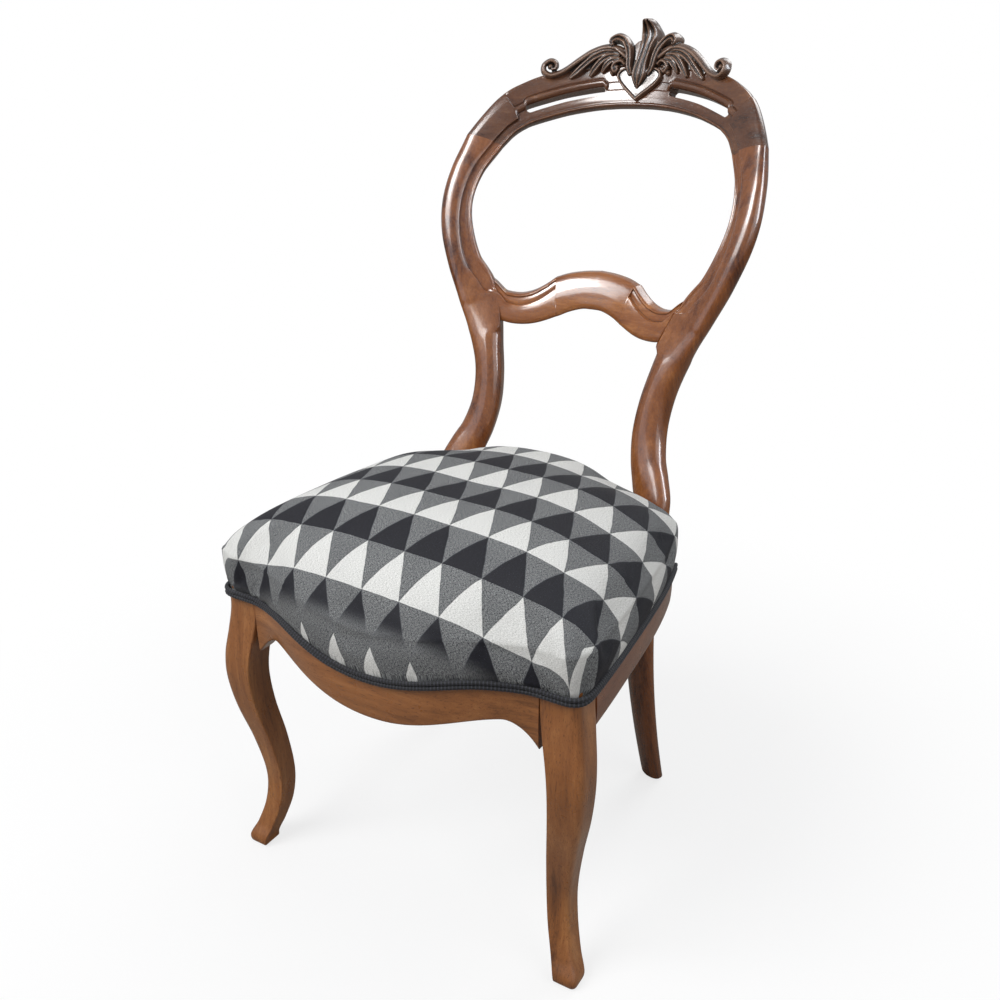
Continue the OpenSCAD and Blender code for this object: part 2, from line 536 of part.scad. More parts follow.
// How far the backs of the lobes stand off the crest, each a little different so that no two lie in one plane
embeds = [0.62, 0.3, 0.5, 0.56, 0.44, 0.38, 0.59, 0.34, 0.68];
function placed(rows) = [for (i = [0 : len(rows) - 1]) concat([i], rows[i])];
function lobe_ring(rows, p, section, s, embed) =
    let (
        h = 1 / 8, a = max(0, p - h), b = min(len(rows) - 1, p + h), w = curve(rows, p, 3), r = curve(rows, p, 4),
        set = curve(rows, p, 5), reach = max(0, curve(rows, p, 6)),
        t = [curve(rows, b, 1) - curve(rows, a, 1), curve(rows, b, 2) - curve(rows, a, 2)], n = [t.y, -t.x] / norm(t)
    )
    [
        for (q = section)
            let (
                x = (curve(rows, p, 1) + n.x * w * q.x) * unit, z = shield_z + (curve(rows, p, 2) + n.y * w * q.x) * unit,
                d = ground_d + (set + (q.y == 0 ? reach - embed : 0)) * unit - r * q.y * relief
            ) behind(s * x, z, d)
    ];
module lobe(table, steps, section, place, s = 1) {
    rows = placed(table);
    n = (len(table) - 1) * steps;
    rings = [for (i = [0 : n]) lobe_ring(rows, i / steps, section, s, embeds[place])];
    flip = [for (r = rings) [for (i = [len(r) - 1 : -1 : 0]) r[i]]];
    loft(s > 0 ? flip : rings);
}
// Outline of the ground that stands on the crest's top edge: [across, up]
plate_rows = [[0, 58], [10, 56], [17, 49], [28, 46], [40, 47], [53, 43], [64, 36], [72, 30]];
plate_t = crest_t * 0.68;
sunk_share = 6;
module carving_plate() {
    n = len(plate_rows) - 1;
    loft([
        for (i = [n : -1 : -n])
            let (
                x = (i < 0 ? -1 : 1) * plate_rows[abs(i)].x * unit, z = shield_z + plate_rows[abs(i)].y * unit,
                low = crest_top(x) + fit_gap, top = max(z, low + unit), lean = (abs(i) < 3 ? unit * 3 : 0)
            )
            [
                behind(x, top, plate_t + lean), behind(x, low, plate_t), behind(x, low, ground_d),
                behind(x, low - sunk_share * unit, ground_d), behind(x, low - sunk_share * unit, ground_d - unit),
                behind(x, top, ground_d - unit + lean),
            ]
    ]);
}
// Buds: [across, up, radius, relief]. Eyelets of the shield: [across, up, width]
bud_rows = [[92, 31.5, 2.6, 7], [26.3, 30.8, 2.3, 6], [30, 26, 2.6, 4.5]];
eyelet_rows = [[19, 21, 5], [13.5, 13, 2.4]];
module bud(row, s) {
    p = behind(s * row.x * unit, shield_z + row.y * unit, ground_d - unit * 0.47);
    q = behind(s * row.x * unit, shield_z + row.y * unit, ground_d - row[3] * relief);
    hull() {
        rod(p, q, row.z * 2 * unit, $fn = 7);
        rod(p, blend(p, q, 1.25), row.z * 1.1 * unit, $fn = 7);
    }
}
module eyelet(s) {
    hull() {
        for (u = eyelet_rows)
            rod(behind(s * u.x * unit, shield_z + u.y * unit, ground_d - unit * 6),
                behind(s * u.x * unit, shield_z + u.y * unit, ground_d + overrun), u.z * unit, $fn = 8);
    }
}
module crest_carving() {
    color("#4e3022") in_frame() {
        carving_plate();
        difference() {
            lobe(shield_rows, 1, bowed, 1);
            eyelet(-1);
            eyelet(1);
        }
        lobe(tongue_rows, 1, fluted, 0);
        for (s = [-1, 1]) {
            lobe(stem_rows, 1, bowed, 2, s);
            lobe(leaf_a_rows, 1, fluted, 3, s);
            lobe(leaf_b_rows, 1, fluted, 4, s);
            lobe(leaf_c_rows, 1, fluted, 5, s);
            lobe(curl_rows, 1, bowed, 6, s);
            lobe(frond_rows, 1, fluted, 7, s);
            lobe(sprig_rows, 1, bowed, 8, s);
            for (row = bud_rows) bud(row, s);
        }
    }
}

// The origin is under the middle of the chair's box, between the swell of the cover and the back of the carved tongue
front_edge_y = -front_bow - lip_t - swell;
back_edge_y = max([
    for (r = tongue_rows) back_y(0, shield_z + r[1] * unit) + ground_d + (r[4] + r[5] - embeds[0]) * unit
]);
middle_y = (front_edge_y + back_edge_y) / 2;
module in_frame() {
    translate([0, -middle_y, 0]) children();
}

// Corner blocks, glued and screwed across the corners of the seat frame
block_low_z = blend(rail_bottom_z, rail_top_z, 0.14);
block_high_z = blend(rail_bottom_z, rail_top_z, 0.84);
screw_d = 4;
head_d = 8;
head_h = 3;
screw_z = blend(block_low_z, block_high_z, 0.5);
function front_inner(x) = face_y(x) + rail_t + fit_gap;
function side_inner(y) = side_x(y) - rail_t - fit_gap;
rear_inner = seat_d - rear_rail_t - fit_gap;
fb = [rail_end_x * 0.63, rail_end_x * 0.86, leg_d * 1.62, leg_d * 2.55];
rb = [seat_d * 0.665, seat_d * 0.775, half_back * 0.5, half_back * 0.35];
front_block = [
    [fb[0], front_inner(fb[0])], [blend(fb[0], fb[1], 0.5), front_inner(blend(fb[0], fb[1], 0.5))],
    [fb[1], front_inner(fb[1])], [side_inner(fb[2]), fb[2]], [side_inner(fb[3]), fb[3]],
];
rear_block = [[side_inner(rb[0]), rb[0]], [side_inner(rb[1]), rb[1]], [rb[2], rear_inner], [rb[3], rear_inner]];
// Screws: [where the head starts, where the point ends], one into each rail from each block
function block_screws(s) =
    let (x = blend(fb[0], fb[1], 0.5), y = blend(fb[2], fb[3], 0.45), v = blend(rb[0], rb[1], 0.5), u = blend(rb[2], rb[3], 0.45))
    [
        [[s * x, front_inner(x) + rail_t * 0.42, screw_z], [s * x, front_inner(x) - rail_t * 0.55, screw_z]],
        [[s * (side_inner(y) - rail_t * 0.5), y, screw_z], [s * (side_inner(y) + rail_t * 0.55), y, screw_z]],
        [[s * (side_inner(v) - rail_t * 0.6), v, screw_z], [s * (side_inner(v) + rail_t * 0.55), v, screw_z]],
        [[s * u, rear_inner - rail_t * 0.5, screw_z], [s * u, rear_inner + rail_t * 0.5, screw_z]],
    ];
module screws(grow) {
    for (s = [-1, 1], q = block_screws(s)) {
        v = (q[1] - q[0]) / norm(q[1] - q[0]);
        rod(q[0] - v * grow, q[1] + v * grow, screw_d + grow * 0.5);
        rod(q[0] - v * (grow > 0 ? rail_t : 0), q[0] + v * (head_h + grow), head_d + grow);
    }
}
module block_screw_holes() { screws(fit_gap); }
module corner_block(outline, left) {
    color("#b98a58") in_frame() difference() {
        sided(left) translate([0, 0, block_low_z]) linear_extrude(block_high_z - block_low_z) polygon(outline);
        block_screw_holes();
    }
}
module corner_block_front_left() { corner_block(front_block, true); }
module corner_block_front_right() { corner_block(front_block, false); }
module corner_block_rear_left() { corner_block(rear_block, true); }
module corner_block_rear_right() { corner_block(rear_block, false); }
module corner_block_screws() { color("#8d8a84") in_frame() screws(0); }

// Seat: points along half of its outline, from the middle of the front to the middle of the rear
front_marks = [0, 0.16, 0.32, 0.48, 0.62, 0.76, 0.88];
side_marks = [0.1, 0.22, 0.36, 0.5, 0.64, 0.77, 0.87];
rear_marks = [0.77, 0.5, 0.25];
seat_mid = [0, seat_d * 0.49];
corner_in = half_seat - corner_r;
function tucked(off) = min(off, lip_t) + max(0, off - lip_t) * 0.15;
function half_outline(off) = concat(
    [for (m = front_marks) let (x = corner_in * m) [x, face_y(x) - off]],
    [for (a = [-90 : 30 : 0]) [corner_in + (corner_r + off) * cos(a), corner_r + (corner_r + off) * sin(a)]],
    [for (m = side_marks) [side_x(side_end_y * m) + off, side_end_y * m]],
    [[half_seat * 0.81 + tucked(off), seat_d * 0.955], [half_seat * 0.72 + tucked(off), seat_d + tucked(off) * 0.7]],
    [for (m = rear_marks) [half_seat * 0.7 * m, seat_d + off]]
);
function outline(off) =
    let (h = half_outline(off), n = len(h))
    concat(h, [[0, seat_d + off]], [for (i = [n - 1 : -1 : 1]) [-h[i].x, h[i].y]]);
dip_depth = corner_r * 2;
// The crown is full between the posts and pulled down round them: the power of its rise, 1 at the front and the sides
full_power = 0.3;
post_power = 1.5;
function power(q) =
    q.y < seat_d * 0.9 ? 1 : blend(post_power, full_power, max(0, 1 - pow(abs(q.x) / half_back / 0.6, 4)));
// Levels of the seat's skins: [share of the way in, set out, height above the cover line, share of the dip, rise, share]
function level_top(v) = v[2] + (len(v) > 4 ? v[4] * v[5] : 0);
function skin_ring(level) =
    [
        for (q = outline(level[1]))
            let (
                p = seat_mid + (q - seat_mid) * (1 - level[0]), d = q.y < dip_depth ? cover_line_z - cover_z(q.x) : 0,
                rise = len(level) > 4 ? level[4] * pow(level[5], power(q)) : 0
            )
            [p.x, p.y, cover_line_z + level[2] + rise - d * level[3]]
    ];
dome = crown_h + cover_drop;
full_z = cover_drop + crown_h * 0.34;
crown_shares = [[0, 0], [0.03, 0.15], [0.07, 0.31], [0.13, 0.48], [0.22, 0.65], [0.35, 0.81], [0.52, 0.93], [0.72, 0.985]];
function crown_levels(out, drop, top) = [
    for (c = crown_shares)
        [c[0], out, full_z - (c[0] == 0 ? 0 : drop * min(1, c[0] * 12)), max(0, 0.7 - c[0] * 1.6), top - full_z, c[1]]
];
cover_out = concat(
    [[0, lip_t, 0, 1], [0, lip_t, piping_d * 2.1, 1], [0, lip_t + swell * 0.5, piping_d * 2.6, 0.96],
        [0, lip_t + swell * 0.86, full_z * 0.6, 0.84]],
    crown_levels(lip_t + swell, 0, dome)
);
cover_in = concat(
    [for (c = [len(crown_shares) - 1 : -1 : 1])
        crown_levels(lip_t + swell - cover_t, cover_t, dome)[c]],
    [[0, lip_t + swell - cover_t, full_z * 0.92, 0.72], [0, -rebate_d * 0.5, cover_drop * 1.3, 0.94],
        [0, fit_gap - rebate_d, cover_drop + fit_gap, 1], [0, fit_gap - rebate_d, 0, 1]]
);
module skin(levels_in, levels_out) {
    rings = concat([for (v = levels_in) skin_ring(v)], [for (v = levels_out) skin_ring(v)]);
    in_top = level_top(levels_in[0]);
    out_top = level_top(levels_out[len(levels_out) - 1]);
    loft(rings, [seat_mid.x, seat_mid.y, cover_line_z + in_top * 1.004], [seat_mid.x, seat_mid.y, cover_line_z + out_top * 1.004]);
}
// The space of a post through the upholstery, and a little more
module post_space(grow) {
    zs = [cover_line_z - overrun * 6, rail_top_z + fit_gap, blend(rail_top_z, crown_h + rail_top_z, 0.35),
        blend(rail_top_z, crown_h + rail_top_z, 0.7), rail_top_z + crown_h];
    for (s = [-1, 1], i = [0 : len(zs) - 2]) hull() for (z = [zs[i], zs[i + 1]]) {
        a = behind(post_edge(z, -1).x - grow, z, -grow);
        b = behind(post_edge(z, 1).x + grow, z, -grow);
        c = behind(post_edge(z, 1).x + grow, z, post_depth(z) + rail_t);
        d = behind(post_edge(z, -1).x - grow, z, post_depth(z) + rail_t);
        for (p = [a, b, c, d]) translate([s * p.x, p.y, z]) cube(fit_gap, center = true);
    }
}
module seat_cover() {
    color("#3f434c") in_frame() difference() {
        skin(cover_in, cover_out);
        post_space(soft_gap);
    }
}
hessian_t = 2;
spring_low_z = rail_bottom_z + fit_gap;
spring_high_z = rail_top_z + crown_h * 0.34;
twine_d = 3;
hessian_rise = spring_high_z + twine_d * 2 + spring_wire / 2 - cover_line_z;
function hessian_levels(t) = [
    [0, -rebate_d * 4, cover_drop + fit_gap * 2 + t, 0], [0.05, -rebate_d * 4, cover_drop + twine_d * 1.2 + t, 0],
    [0.33, 0, hessian_rise + t, 0], [0.7, 0, hessian_rise + t, 0],
];
function reversed(v) = [for (i = [len(v) - 1 : -1 : 0]) v[i]];
module hessian() {
    color("#b79a6b") in_frame() difference() {
        skin(reversed(hessian_levels(0)), hessian_levels(hessian_t));
        post_space(soft_gap * 1.5);
    }
}
module stuffing() {
    low = [for (v = reversed(hessian_levels(hessian_t + soft_gap))) v];
    high = concat(
        [[0, lip_t + swell - cover_t - soft_gap * 3, full_z * 0.92, 0.7]],
        [for (c = [1 : len(crown_shares) - 1]) let (v = crown_levels(lip_t + swell - cover_t - soft_gap * 2, cover_t + soft_gap * 2, dome)[c]) v]
    );
    color("#d8cdb4") in_frame() difference() {
        skin(low, high);
        post_space(soft_gap * 2);
    }
}

// Double piping: a strip of two cords, and the shorter strip across the rear
function cord_pair(p, out, z) =
    let (r = piping_d / 2)
    concat(
        [[p.x, p.y, z + r * 0.6], [p.x, p.y, z + r * 3.4]],
        [for (a = [120 : -48 : -72]) [p.x + out.x * (r + r * cos(a)), p.y + out.y * (r + r * cos(a)), z + r * 3 + r * sin(a)]],
        [for (a = [72 : -48 : -120]) [p.x + out.x * (r + r * cos(a)), p.y + out.y * (r + r * cos(a)), z + r + r * sin(a)]]
    );
module cords(points) {
    n = len(points);
    loft([
        for (i = [0 : n - 1])
            let (
                t = points[min(n - 1, i + 1)] - points[max(0, i - 1)], out = [t.y, -t.x] / norm([t.x, t.y]), q = points[i],
                h = 1 / max(0.7, norm([t.x, t.y]) / norm(t))
            ) cord_pair(q, out * h, q.z)
    ]);
}
module double_piping() {
    all = outline(lip_t + fit_gap);
    n = (len(all) - 1) / 2;
    last = len(front_marks) + 4 + len(side_marks) - 1;
    right = [for (i = [0 : last]) [all[i].x, all[i].y, (all[i].y < dip_depth ? cover_z(all[i].x) : cover_line_z) + fit_gap]];
    left = [for (i = [last : -1 : 1]) [-right[i].x, right[i].y, right[i].z]];
    rear_x = post_side(seat_d, cover_line_z, -1) - piping_d;
    rear_y = seat_d + lip_t + fit_gap;
    color("#1c1c1f") in_frame() {
        cords(concat(left, right));
        cords([[rear_x, rear_y, cover_line_z + fit_gap], [-rear_x, rear_y, cover_line_z + fit_gap]]);
    }
}

// Springs on the webbing, tied with twine
spring_r = 38;
spring_waist = 24;
spring_spots = [
    [half_seat * 0.39, seat_d * 0.28], [half_seat * 0.35, seat_d * 0.7], [-half_seat * 0.39, seat_d * 0.28],
    [-half_seat * 0.35, seat_d * 0.7], [0, seat_d * 0.49],
];
ring_steps = 8;
function spring_point(t) =
    let (r = blend(spring_r, spring_waist, sin(180 * t)), a = 360 * spring_turns * t, w = spring_wire / 2 + fit_gap)
    [r * cos(a), r * sin(a), blend(spring_low_z + w, spring_high_z - w, t)];
function wire_ring(a, p, b, r) =
    let (t = (b - a) / norm(b - a), u = cross(t, [0, 0, 1]), n = u / norm(u), m = cross(n, t))
    [for (g = [300 : -60 : 0]) p + (n * cos(g) + m * sin(g)) * r];
module spring() {
    count = spring_turns * ring_steps;
    h = 1 / count / 4;
    loft([
        for (i = [0 : count]) let (t = i / count)
            wire_ring(spring_point(t - h), spring_point(t), spring_point(t + h), spring_wire / 2)
    ]);
}
spring_fine = 24;
spring_gap = min([
    for (i = [0 : spring_turns * spring_fine], j = [i + spring_fine / 2 : spring_turns * spring_fine])
        norm(spring_point(i / spring_turns / spring_fine) - spring_point(j / spring_turns / spring_fine))
]) - spring_wire;
echo(spring_least_gap = spring_gap);
module seat_springs() {
    color("#77746c") in_frame() for (p = spring_spots) translate([p.x, p.y, 0]) spring();
}
twine_z = spring_high_z + twine_d / 2 + fit_gap;
module twine_line(a, b, lift) {
    v = (b - a) / norm(b - a);
    z_low = rail_top_z + twine_d / 2 + fit_gap;
    run = norm(b - a) * 0.2;
    points = [[a.x, a.y, z_low], [a.x + v.x * run, a.y + v.y * run, twine_z + lift],
        [b.x - v.x * run, b.y - v.y * run, twine_z + lift], [b.x, b.y, z_low]];
    for (i = [0 : 2]) rod(points[i], points[i + 1], twine_d, $fn = 6);
}
module spring_twine() {
    color("#c8b28a") in_frame() {
        for (y = [spring_spots[0].y, spring_spots[4].y, spring_spots[1].y])
            twine_line([-side_x(y) + rail_t * 0.7, y], [side_x(y) - rail_t * 0.7, y], 0);
        for (x = [-1, 0, 1]) {
            a = x * spring_spots[0].x * 1.08;
            b = x * spring_spots[1].x * 0.94;
            twine_line([a, face_y(a) + rail_t * 0.7], [b, seat_d - rear_rail_t * 0.6], twine_d * 0.9);
        }
    }
}
web_t = 1.4;
across_ys = [spring_spots[0].y, spring_spots[4].y, spring_spots[1].y];
length_xs = [-spring_spots[0].x, 0, spring_spots[0].x];
web_high_z = rail_bottom_z - fit_gap;
web_low_z = web_high_z - web_t - fit_gap * 2;
module webbing_across() {
    color("#9a8a68") in_frame() for (y = across_ys)
        translate([-side_x(y) + rail_t * 0.35, y - strap_w / 2, web_high_z - web_t])
            cube([side_x(y) * 2 - rail_t * 0.7, strap_w, web_t]);
}
module webbing_lengthways() {
    color("#94835f") in_frame() for (x = length_xs) {
        y = front_inner(abs(x) + strap_w / 2);
        translate([x - strap_w / 2, y, web_low_z - web_t]) cube([strap_w, seat_d - rear_rail_t * 0.3 - y, web_t]);
    }
}
tack_d = 7;
tack_h = 0.9;
module tack(p) {
    translate([p.x, p.y, p.z - tack_h]) cylinder(h = tack_h, d = tack_d, $fn = 6);
}
module webbing_tacks() {
    color("#4a4a4c") in_frame() {
        for (y = across_ys, s = [-1, 1], u = [-0.3, 0.3])
            tack([s * (side_x(y) - rail_t * 0.62), y + u * strap_w, web_high_z - web_t - fit_gap]);
        for (x = length_xs, u = [-0.3, 0.3]) tack([x + u * strap_w, seat_d - rear_rail_t * 0.55, web_low_z - web_t - fit_gap]);
    }
}
dust_t = 1;
dust_z = web_low_z - web_t - tack_h - fit_gap * 3;
module dust_cover() {
    half = [
        [0, front_inner(rail_end_x * 0.35) + fit_gap], [rail_end_x * 0.35, front_inner(rail_end_x * 0.35) + fit_gap],
        [rail_end_x * 0.6, front_inner(rail_end_x * 0.72) + fit_gap], [rail_end_x * 0.93, leg_d * 1.1],
        [side_x(leg_d) - rail_t * 0.3, leg_d * 1.1], [side_x(seat_d * 0.4) - rail_t * 0.3, seat_d * 0.4],
        [side_x(seat_d * 0.72) - rail_t * 0.3, seat_d * 0.72], [half_back * 0.52, seat_d * 0.86],
        [half_back * 0.5, seat_d - rear_rail_t * 0.3],
    ];
    color("#232326") in_frame() translate([0, 0, dust_z - dust_t]) linear_extrude(dust_t)
        polygon(concat(half, [for (i = [len(half) - 1 : -1 : 1]) [-half[i].x, half[i].y]]));
}
module dust_cover_tacks() {
    color("#5b5b5e") in_frame() {
        for (s = [-1, 1], u = [0.2, 0.34, 0.48, 0.62]) {
            y = seat_d * u;
            tack([s * (side_x(y) - rail_t * 0.55), y, dust_z - dust_t - fit_gap]);
        }
        for (x = [-0.42, -0.14, 0.14, 0.42]) tack([half_back * x, seat_d - rear_rail_t * 0.6, dust_z - dust_t - fit_gap]);
    }
}

front_leg_left();
front_leg_right();
rear_post_left();
rear_post_right();
crest_rail();
crest_carving();
cross_rail();
front_rail();
side_rail_left();
side_rail_right();
rear_rail();
corner_block_front_left();
corner_block_front_right();
corner_block_rear_left();
corner_block_rear_right();
corner_block_screws();
seat_frame_dowels();
crest_dowels();
cross_rail_dowels();
webbing_across();
webbing_lengthways();
webbing_tacks();
seat_springs();
spring_twine();
hessian();
stuffing();
seat_cover();
double_piping();
dust_cover();
dust_cover_tacks();
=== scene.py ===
# %% [markdown]
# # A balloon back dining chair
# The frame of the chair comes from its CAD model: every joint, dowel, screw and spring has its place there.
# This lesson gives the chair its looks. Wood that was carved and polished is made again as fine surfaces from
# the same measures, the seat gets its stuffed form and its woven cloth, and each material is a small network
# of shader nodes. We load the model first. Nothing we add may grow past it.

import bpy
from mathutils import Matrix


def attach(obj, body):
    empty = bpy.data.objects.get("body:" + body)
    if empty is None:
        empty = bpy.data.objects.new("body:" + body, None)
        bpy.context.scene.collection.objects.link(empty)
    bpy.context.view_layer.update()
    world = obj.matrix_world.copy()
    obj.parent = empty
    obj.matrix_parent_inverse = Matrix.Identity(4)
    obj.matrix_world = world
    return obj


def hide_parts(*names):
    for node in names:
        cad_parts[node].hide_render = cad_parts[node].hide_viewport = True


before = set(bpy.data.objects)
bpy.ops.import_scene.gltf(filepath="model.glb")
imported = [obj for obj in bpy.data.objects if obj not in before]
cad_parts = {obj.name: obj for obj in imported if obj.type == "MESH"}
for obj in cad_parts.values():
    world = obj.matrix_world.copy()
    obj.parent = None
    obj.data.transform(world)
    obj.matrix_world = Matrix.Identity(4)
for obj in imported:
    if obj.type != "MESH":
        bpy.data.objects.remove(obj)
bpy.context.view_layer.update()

# %% Tools
import bpy
import numpy as np
from mathutils import Matrix

MM = 0.001
rng = np.random.default_rng(7)

# %% [markdown]
# ## Measures
# A chair maker works from a few sizes and from templates. The sizes below are in millimetres. A template is a
# table: its first column says where along the piece we are, and the others say how wide, thick or deep it is
# there. One smooth curve through all rows of a table gives every place between them.

# %% Sizes of the chair
TOP, JOINT, OPENING, CROSS = 930, 792, 832, 640          # heights: leaf tip, joints, opening, cross rail
HALF_SEAT, SEAT_DEEP, RAIL_TOP = 219, 338, 362           # the seat's frame
COVER_LINE, RAIL_LOW, RAIL_T, REBATE = 344, 300, 26, 2
FRONT_BOW, COVER_DIP, APRON_DROP, APRON_Z = 37, 20, 30, 308.8
ARCH_H, ARCH_FROM = 27, .79                               # the arches at the front rail's ends
CROWN_RISE, COVER_DROP = 101, 18                          # above and below the rails' tops
SPRING_RISE = CROWN_RISE * 0.34
LEG_W, LEG_D, ANKLE, SWING = 42, 37, 25, 14
RAIL_END = HALF_SEAT - LEG_W
LEAN = np.radians(22.6)
HALF_BACK, BACK_SET, RAKE, DISH = 206, 355, np.tan(LEAN), 84
SWEEP, KNEE, WAIST_BOW = 196, 330, 19
POST_W, POST_T, BAND_W, BAND_D = 37, 26, 13, 4
CREST_W, CREST_T, SLOT_H, CROSS_H, CROSS_T = 52, 22, 10, 44, 22
MIDDLE = 278.624                                          # from the front corners to the middle of the box


def curve(rows, place, column=1):
    """A smooth curve through a table: a cubic between each two rows, whose slope at a row is the slope
    between the rows beside it."""
    rows = np.asarray(rows, float)
    t, v = rows[:, 0], rows[:, column]
    before, after = np.r_[0, np.arange(len(t) - 1)], np.r_[np.arange(1, len(t)), len(t) - 1]
    slope = (v[after] - v[before]) / (t[after] - t[before])
    place = np.asarray(place, float)
    i = np.clip(np.searchsorted(t, place, side="right") - 1, 0, len(t) - 2)
    h = t[i + 1] - t[i]
    s = (place - t[i]) / h
    return (v[i] * (1 + 2 * s) * (1 - s) ** 2 + v[i + 1] * s * s * (3 - 2 * s)
            + h * (slope[i] * s * (1 - s) ** 2 - slope[i + 1] * s * s * (1 - s)))


def blend(a, b, s):
    return a + (b - a) * s


def ease(a, b, x):
    """Rises from 0 at a to 1 at b, without a corner at either end."""
    s = np.clip((x - a) / (b - a), 0, 1)
    return s * s * (3 - 2 * s)


print("the seat is", 2 * HALF_SEAT, "mm wide and", SEAT_DEEP, "mm deep")

# %% [markdown]
# ## From a grid of points to a mesh
# Each wooden piece is a skin over a grid: one way along the piece, the other way round its section. Blender
# wants vertices and quads, so one helper joins neighbours in the grid, closes the ends with a fan, and turns
# the skin the right way out by the sign of its volume. One thing is stored on the points for the finish to
# read: `bend`, which is high in hollows and low on edges.

# %% Skins over grids
def joined(rows, columns, way_round=True, offset=0):
    """Quads of a grid whose point (i, j) has the number i * columns + j."""
    i, j = np.meshgrid(np.arange(rows - 1), np.arange(columns if way_round else columns - 1), indexing="ij")
    k = (j + 1) % columns
    quads = np.stack([i * columns + j, i * columns + k, (i + 1) * columns + k, (i + 1) * columns + j], -1)
    return quads.reshape(-1, 4) + offset


def fan(ring, middle):
    """Triangles from a ring of point numbers to one point in its middle."""
    return np.stack([np.roll(ring, -1), ring, np.full(len(ring), middle)], -1)


def volume(points, faces):
    """The signed volume of a closed skin: the sum over its triangles of the box product of their corners."""
    total = 0.0
    for f in faces:
        for k in range(1, f.shape[1] - 1):
            a, b, c = points[f[:, 0]], points[f[:, k]], points[f[:, k + 1]]
            total += np.einsum("ij,ij->i", a, np.cross(b, c)).sum() / 6
    return total


def make_mesh(name, points, faces, finish=None, uv=None, sharp=42):
    """Puts points in millimetres, in the maker's frame, into a mesh in metres, in the chair's frame."""
    points = (np.asarray(points, float) - [0, MIDDLE, 0]) * MM
    if volume(points, faces) < 0:
        faces = [f[:, ::-1] for f in faces]
    mesh = bpy.data.meshes.new(name)
    mesh.from_pydata(points, [], [list(map(int, q)) for f in faces for q in f])
    mesh.polygons.foreach_set("use_smooth", np.ones(len(mesh.polygons), bool))
    if uv is not None:
        corner = np.zeros(len(mesh.loops), int)
        mesh.loops.foreach_get("vertex_index", corner)
        mesh.uv_layers.new(name="UVMap").data.foreach_set("uv", np.asarray(uv, float)[corner].ravel())
    mesh.set_sharp_from_angle(angle=np.radians(sharp))
    piece = bpy.data.objects.new(name, mesh)
    bpy.context.scene.collection.objects.link(piece)
    if finish is not None:
        mesh.materials.append(finish)
    return piece


def mark_bends(piece, reach=0.0012, passes=3):
    """Stores how the skin bends at each point: the mean, over its edges, of the rise of the neighbour above
    the tangent plane over the edge's length, taken `passes` steps wide, so that 1 is a hollow and -1 is an
    edge."""
    mesh = piece.data
    n = len(mesh.vertices)
    co, no = np.zeros(n * 3), np.zeros(n * 3)
    mesh.vertices.foreach_get("co", co)
    mesh.vertex_normals.foreach_get("vector", no)
    co, no = co.reshape(-1, 3), no.reshape(-1, 3)
    edge = np.zeros(len(mesh.edges) * 2, int)
    mesh.edges.foreach_get("vertices", edge)
    a, b = edge.reshape(-1, 2).T
    count = np.bincount(a, minlength=n) + np.bincount(b, minlength=n)
    count = np.maximum(count, 1)
    d = co[b] - co[a]
    length = np.maximum(np.linalg.norm(d, axis=1), 1e-7)
    rise_a, rise_b = (d * no[a]).sum(1) / length, -(d * no[b]).sum(1) / length
    value = (np.bincount(a, rise_a, n) + np.bincount(b, rise_b, n)) / count
    size = (np.bincount(a, length, n) + np.bincount(b, length, n)) / count
    value = np.clip(value * reach / np.maximum(size, 1e-6) * 2.5, -1, 1)
    for _ in range(passes):
        value = 0.5 * value + 0.5 * (np.bincount(a, value[b], n) + np.bincount(b, value[a], n)) / count
    layer = mesh.attributes.get("bend") or mesh.attributes.new("bend", "FLOAT", "POINT")
    layer.data.foreach_set("value", np.clip(value, -1, 1).astype(np.float32))
    return piece


def tube_skin(name, rings, finish, mirror=False):
    """A closed skin over rings of points, with a fan at each end. A mirrored piece has every x turned
    round."""
    m, n, _ = rings.shape
    points = np.concatenate([rings.reshape(-1, 3), rings[:1].mean(1), rings[-1:].mean(1)])
    if mirror:
        points = points * [-1, 1, 1]
    first, last = np.arange(n), np.arange(n) + (m - 1) * n
    caps = np.concatenate([fan(first, m * n), fan(last, m * n + 1)[:, ::-1]])
    piece = make_mesh(name, points, [joined(m, n), caps], finish)
    return mark_bends(piece)


def soften(corners, bends, steps=6):
    """Rounds a closed polygon. Each corner becomes a parabola that leaves one edge a share `bend` before the
    corner and joins the next edge the same share after it."""
    before = corners + (np.roll(corners, 1, -2) - corners) * bends[:, None]
    after = corners + (np.roll(corners, -1, -2) - corners) * bends[:, None]
    s = ((np.arange(steps) + 0.5) / steps)[:, None]
    out = (before[..., None, :] * (1 - s) ** 2 + 2 * corners[..., None, :] * s * (1 - s) +
           after[..., None, :] * s * s)
    return out.reshape(*corners.shape[:-2], -1, 2)


def run_of(path):
    """How far along a path each of its points lies."""
    return np.concatenate([[0], np.cumsum(np.linalg.norm(np.diff(path, axis=0), axis=1))])


print("helpers ready")

# %% [markdown]
# ## The camera
# The photograph was taken from the chair's front right, above the seat. Its place was solved from pairs of
# points that mirror each other on the chair, so the render can be laid over the photograph.

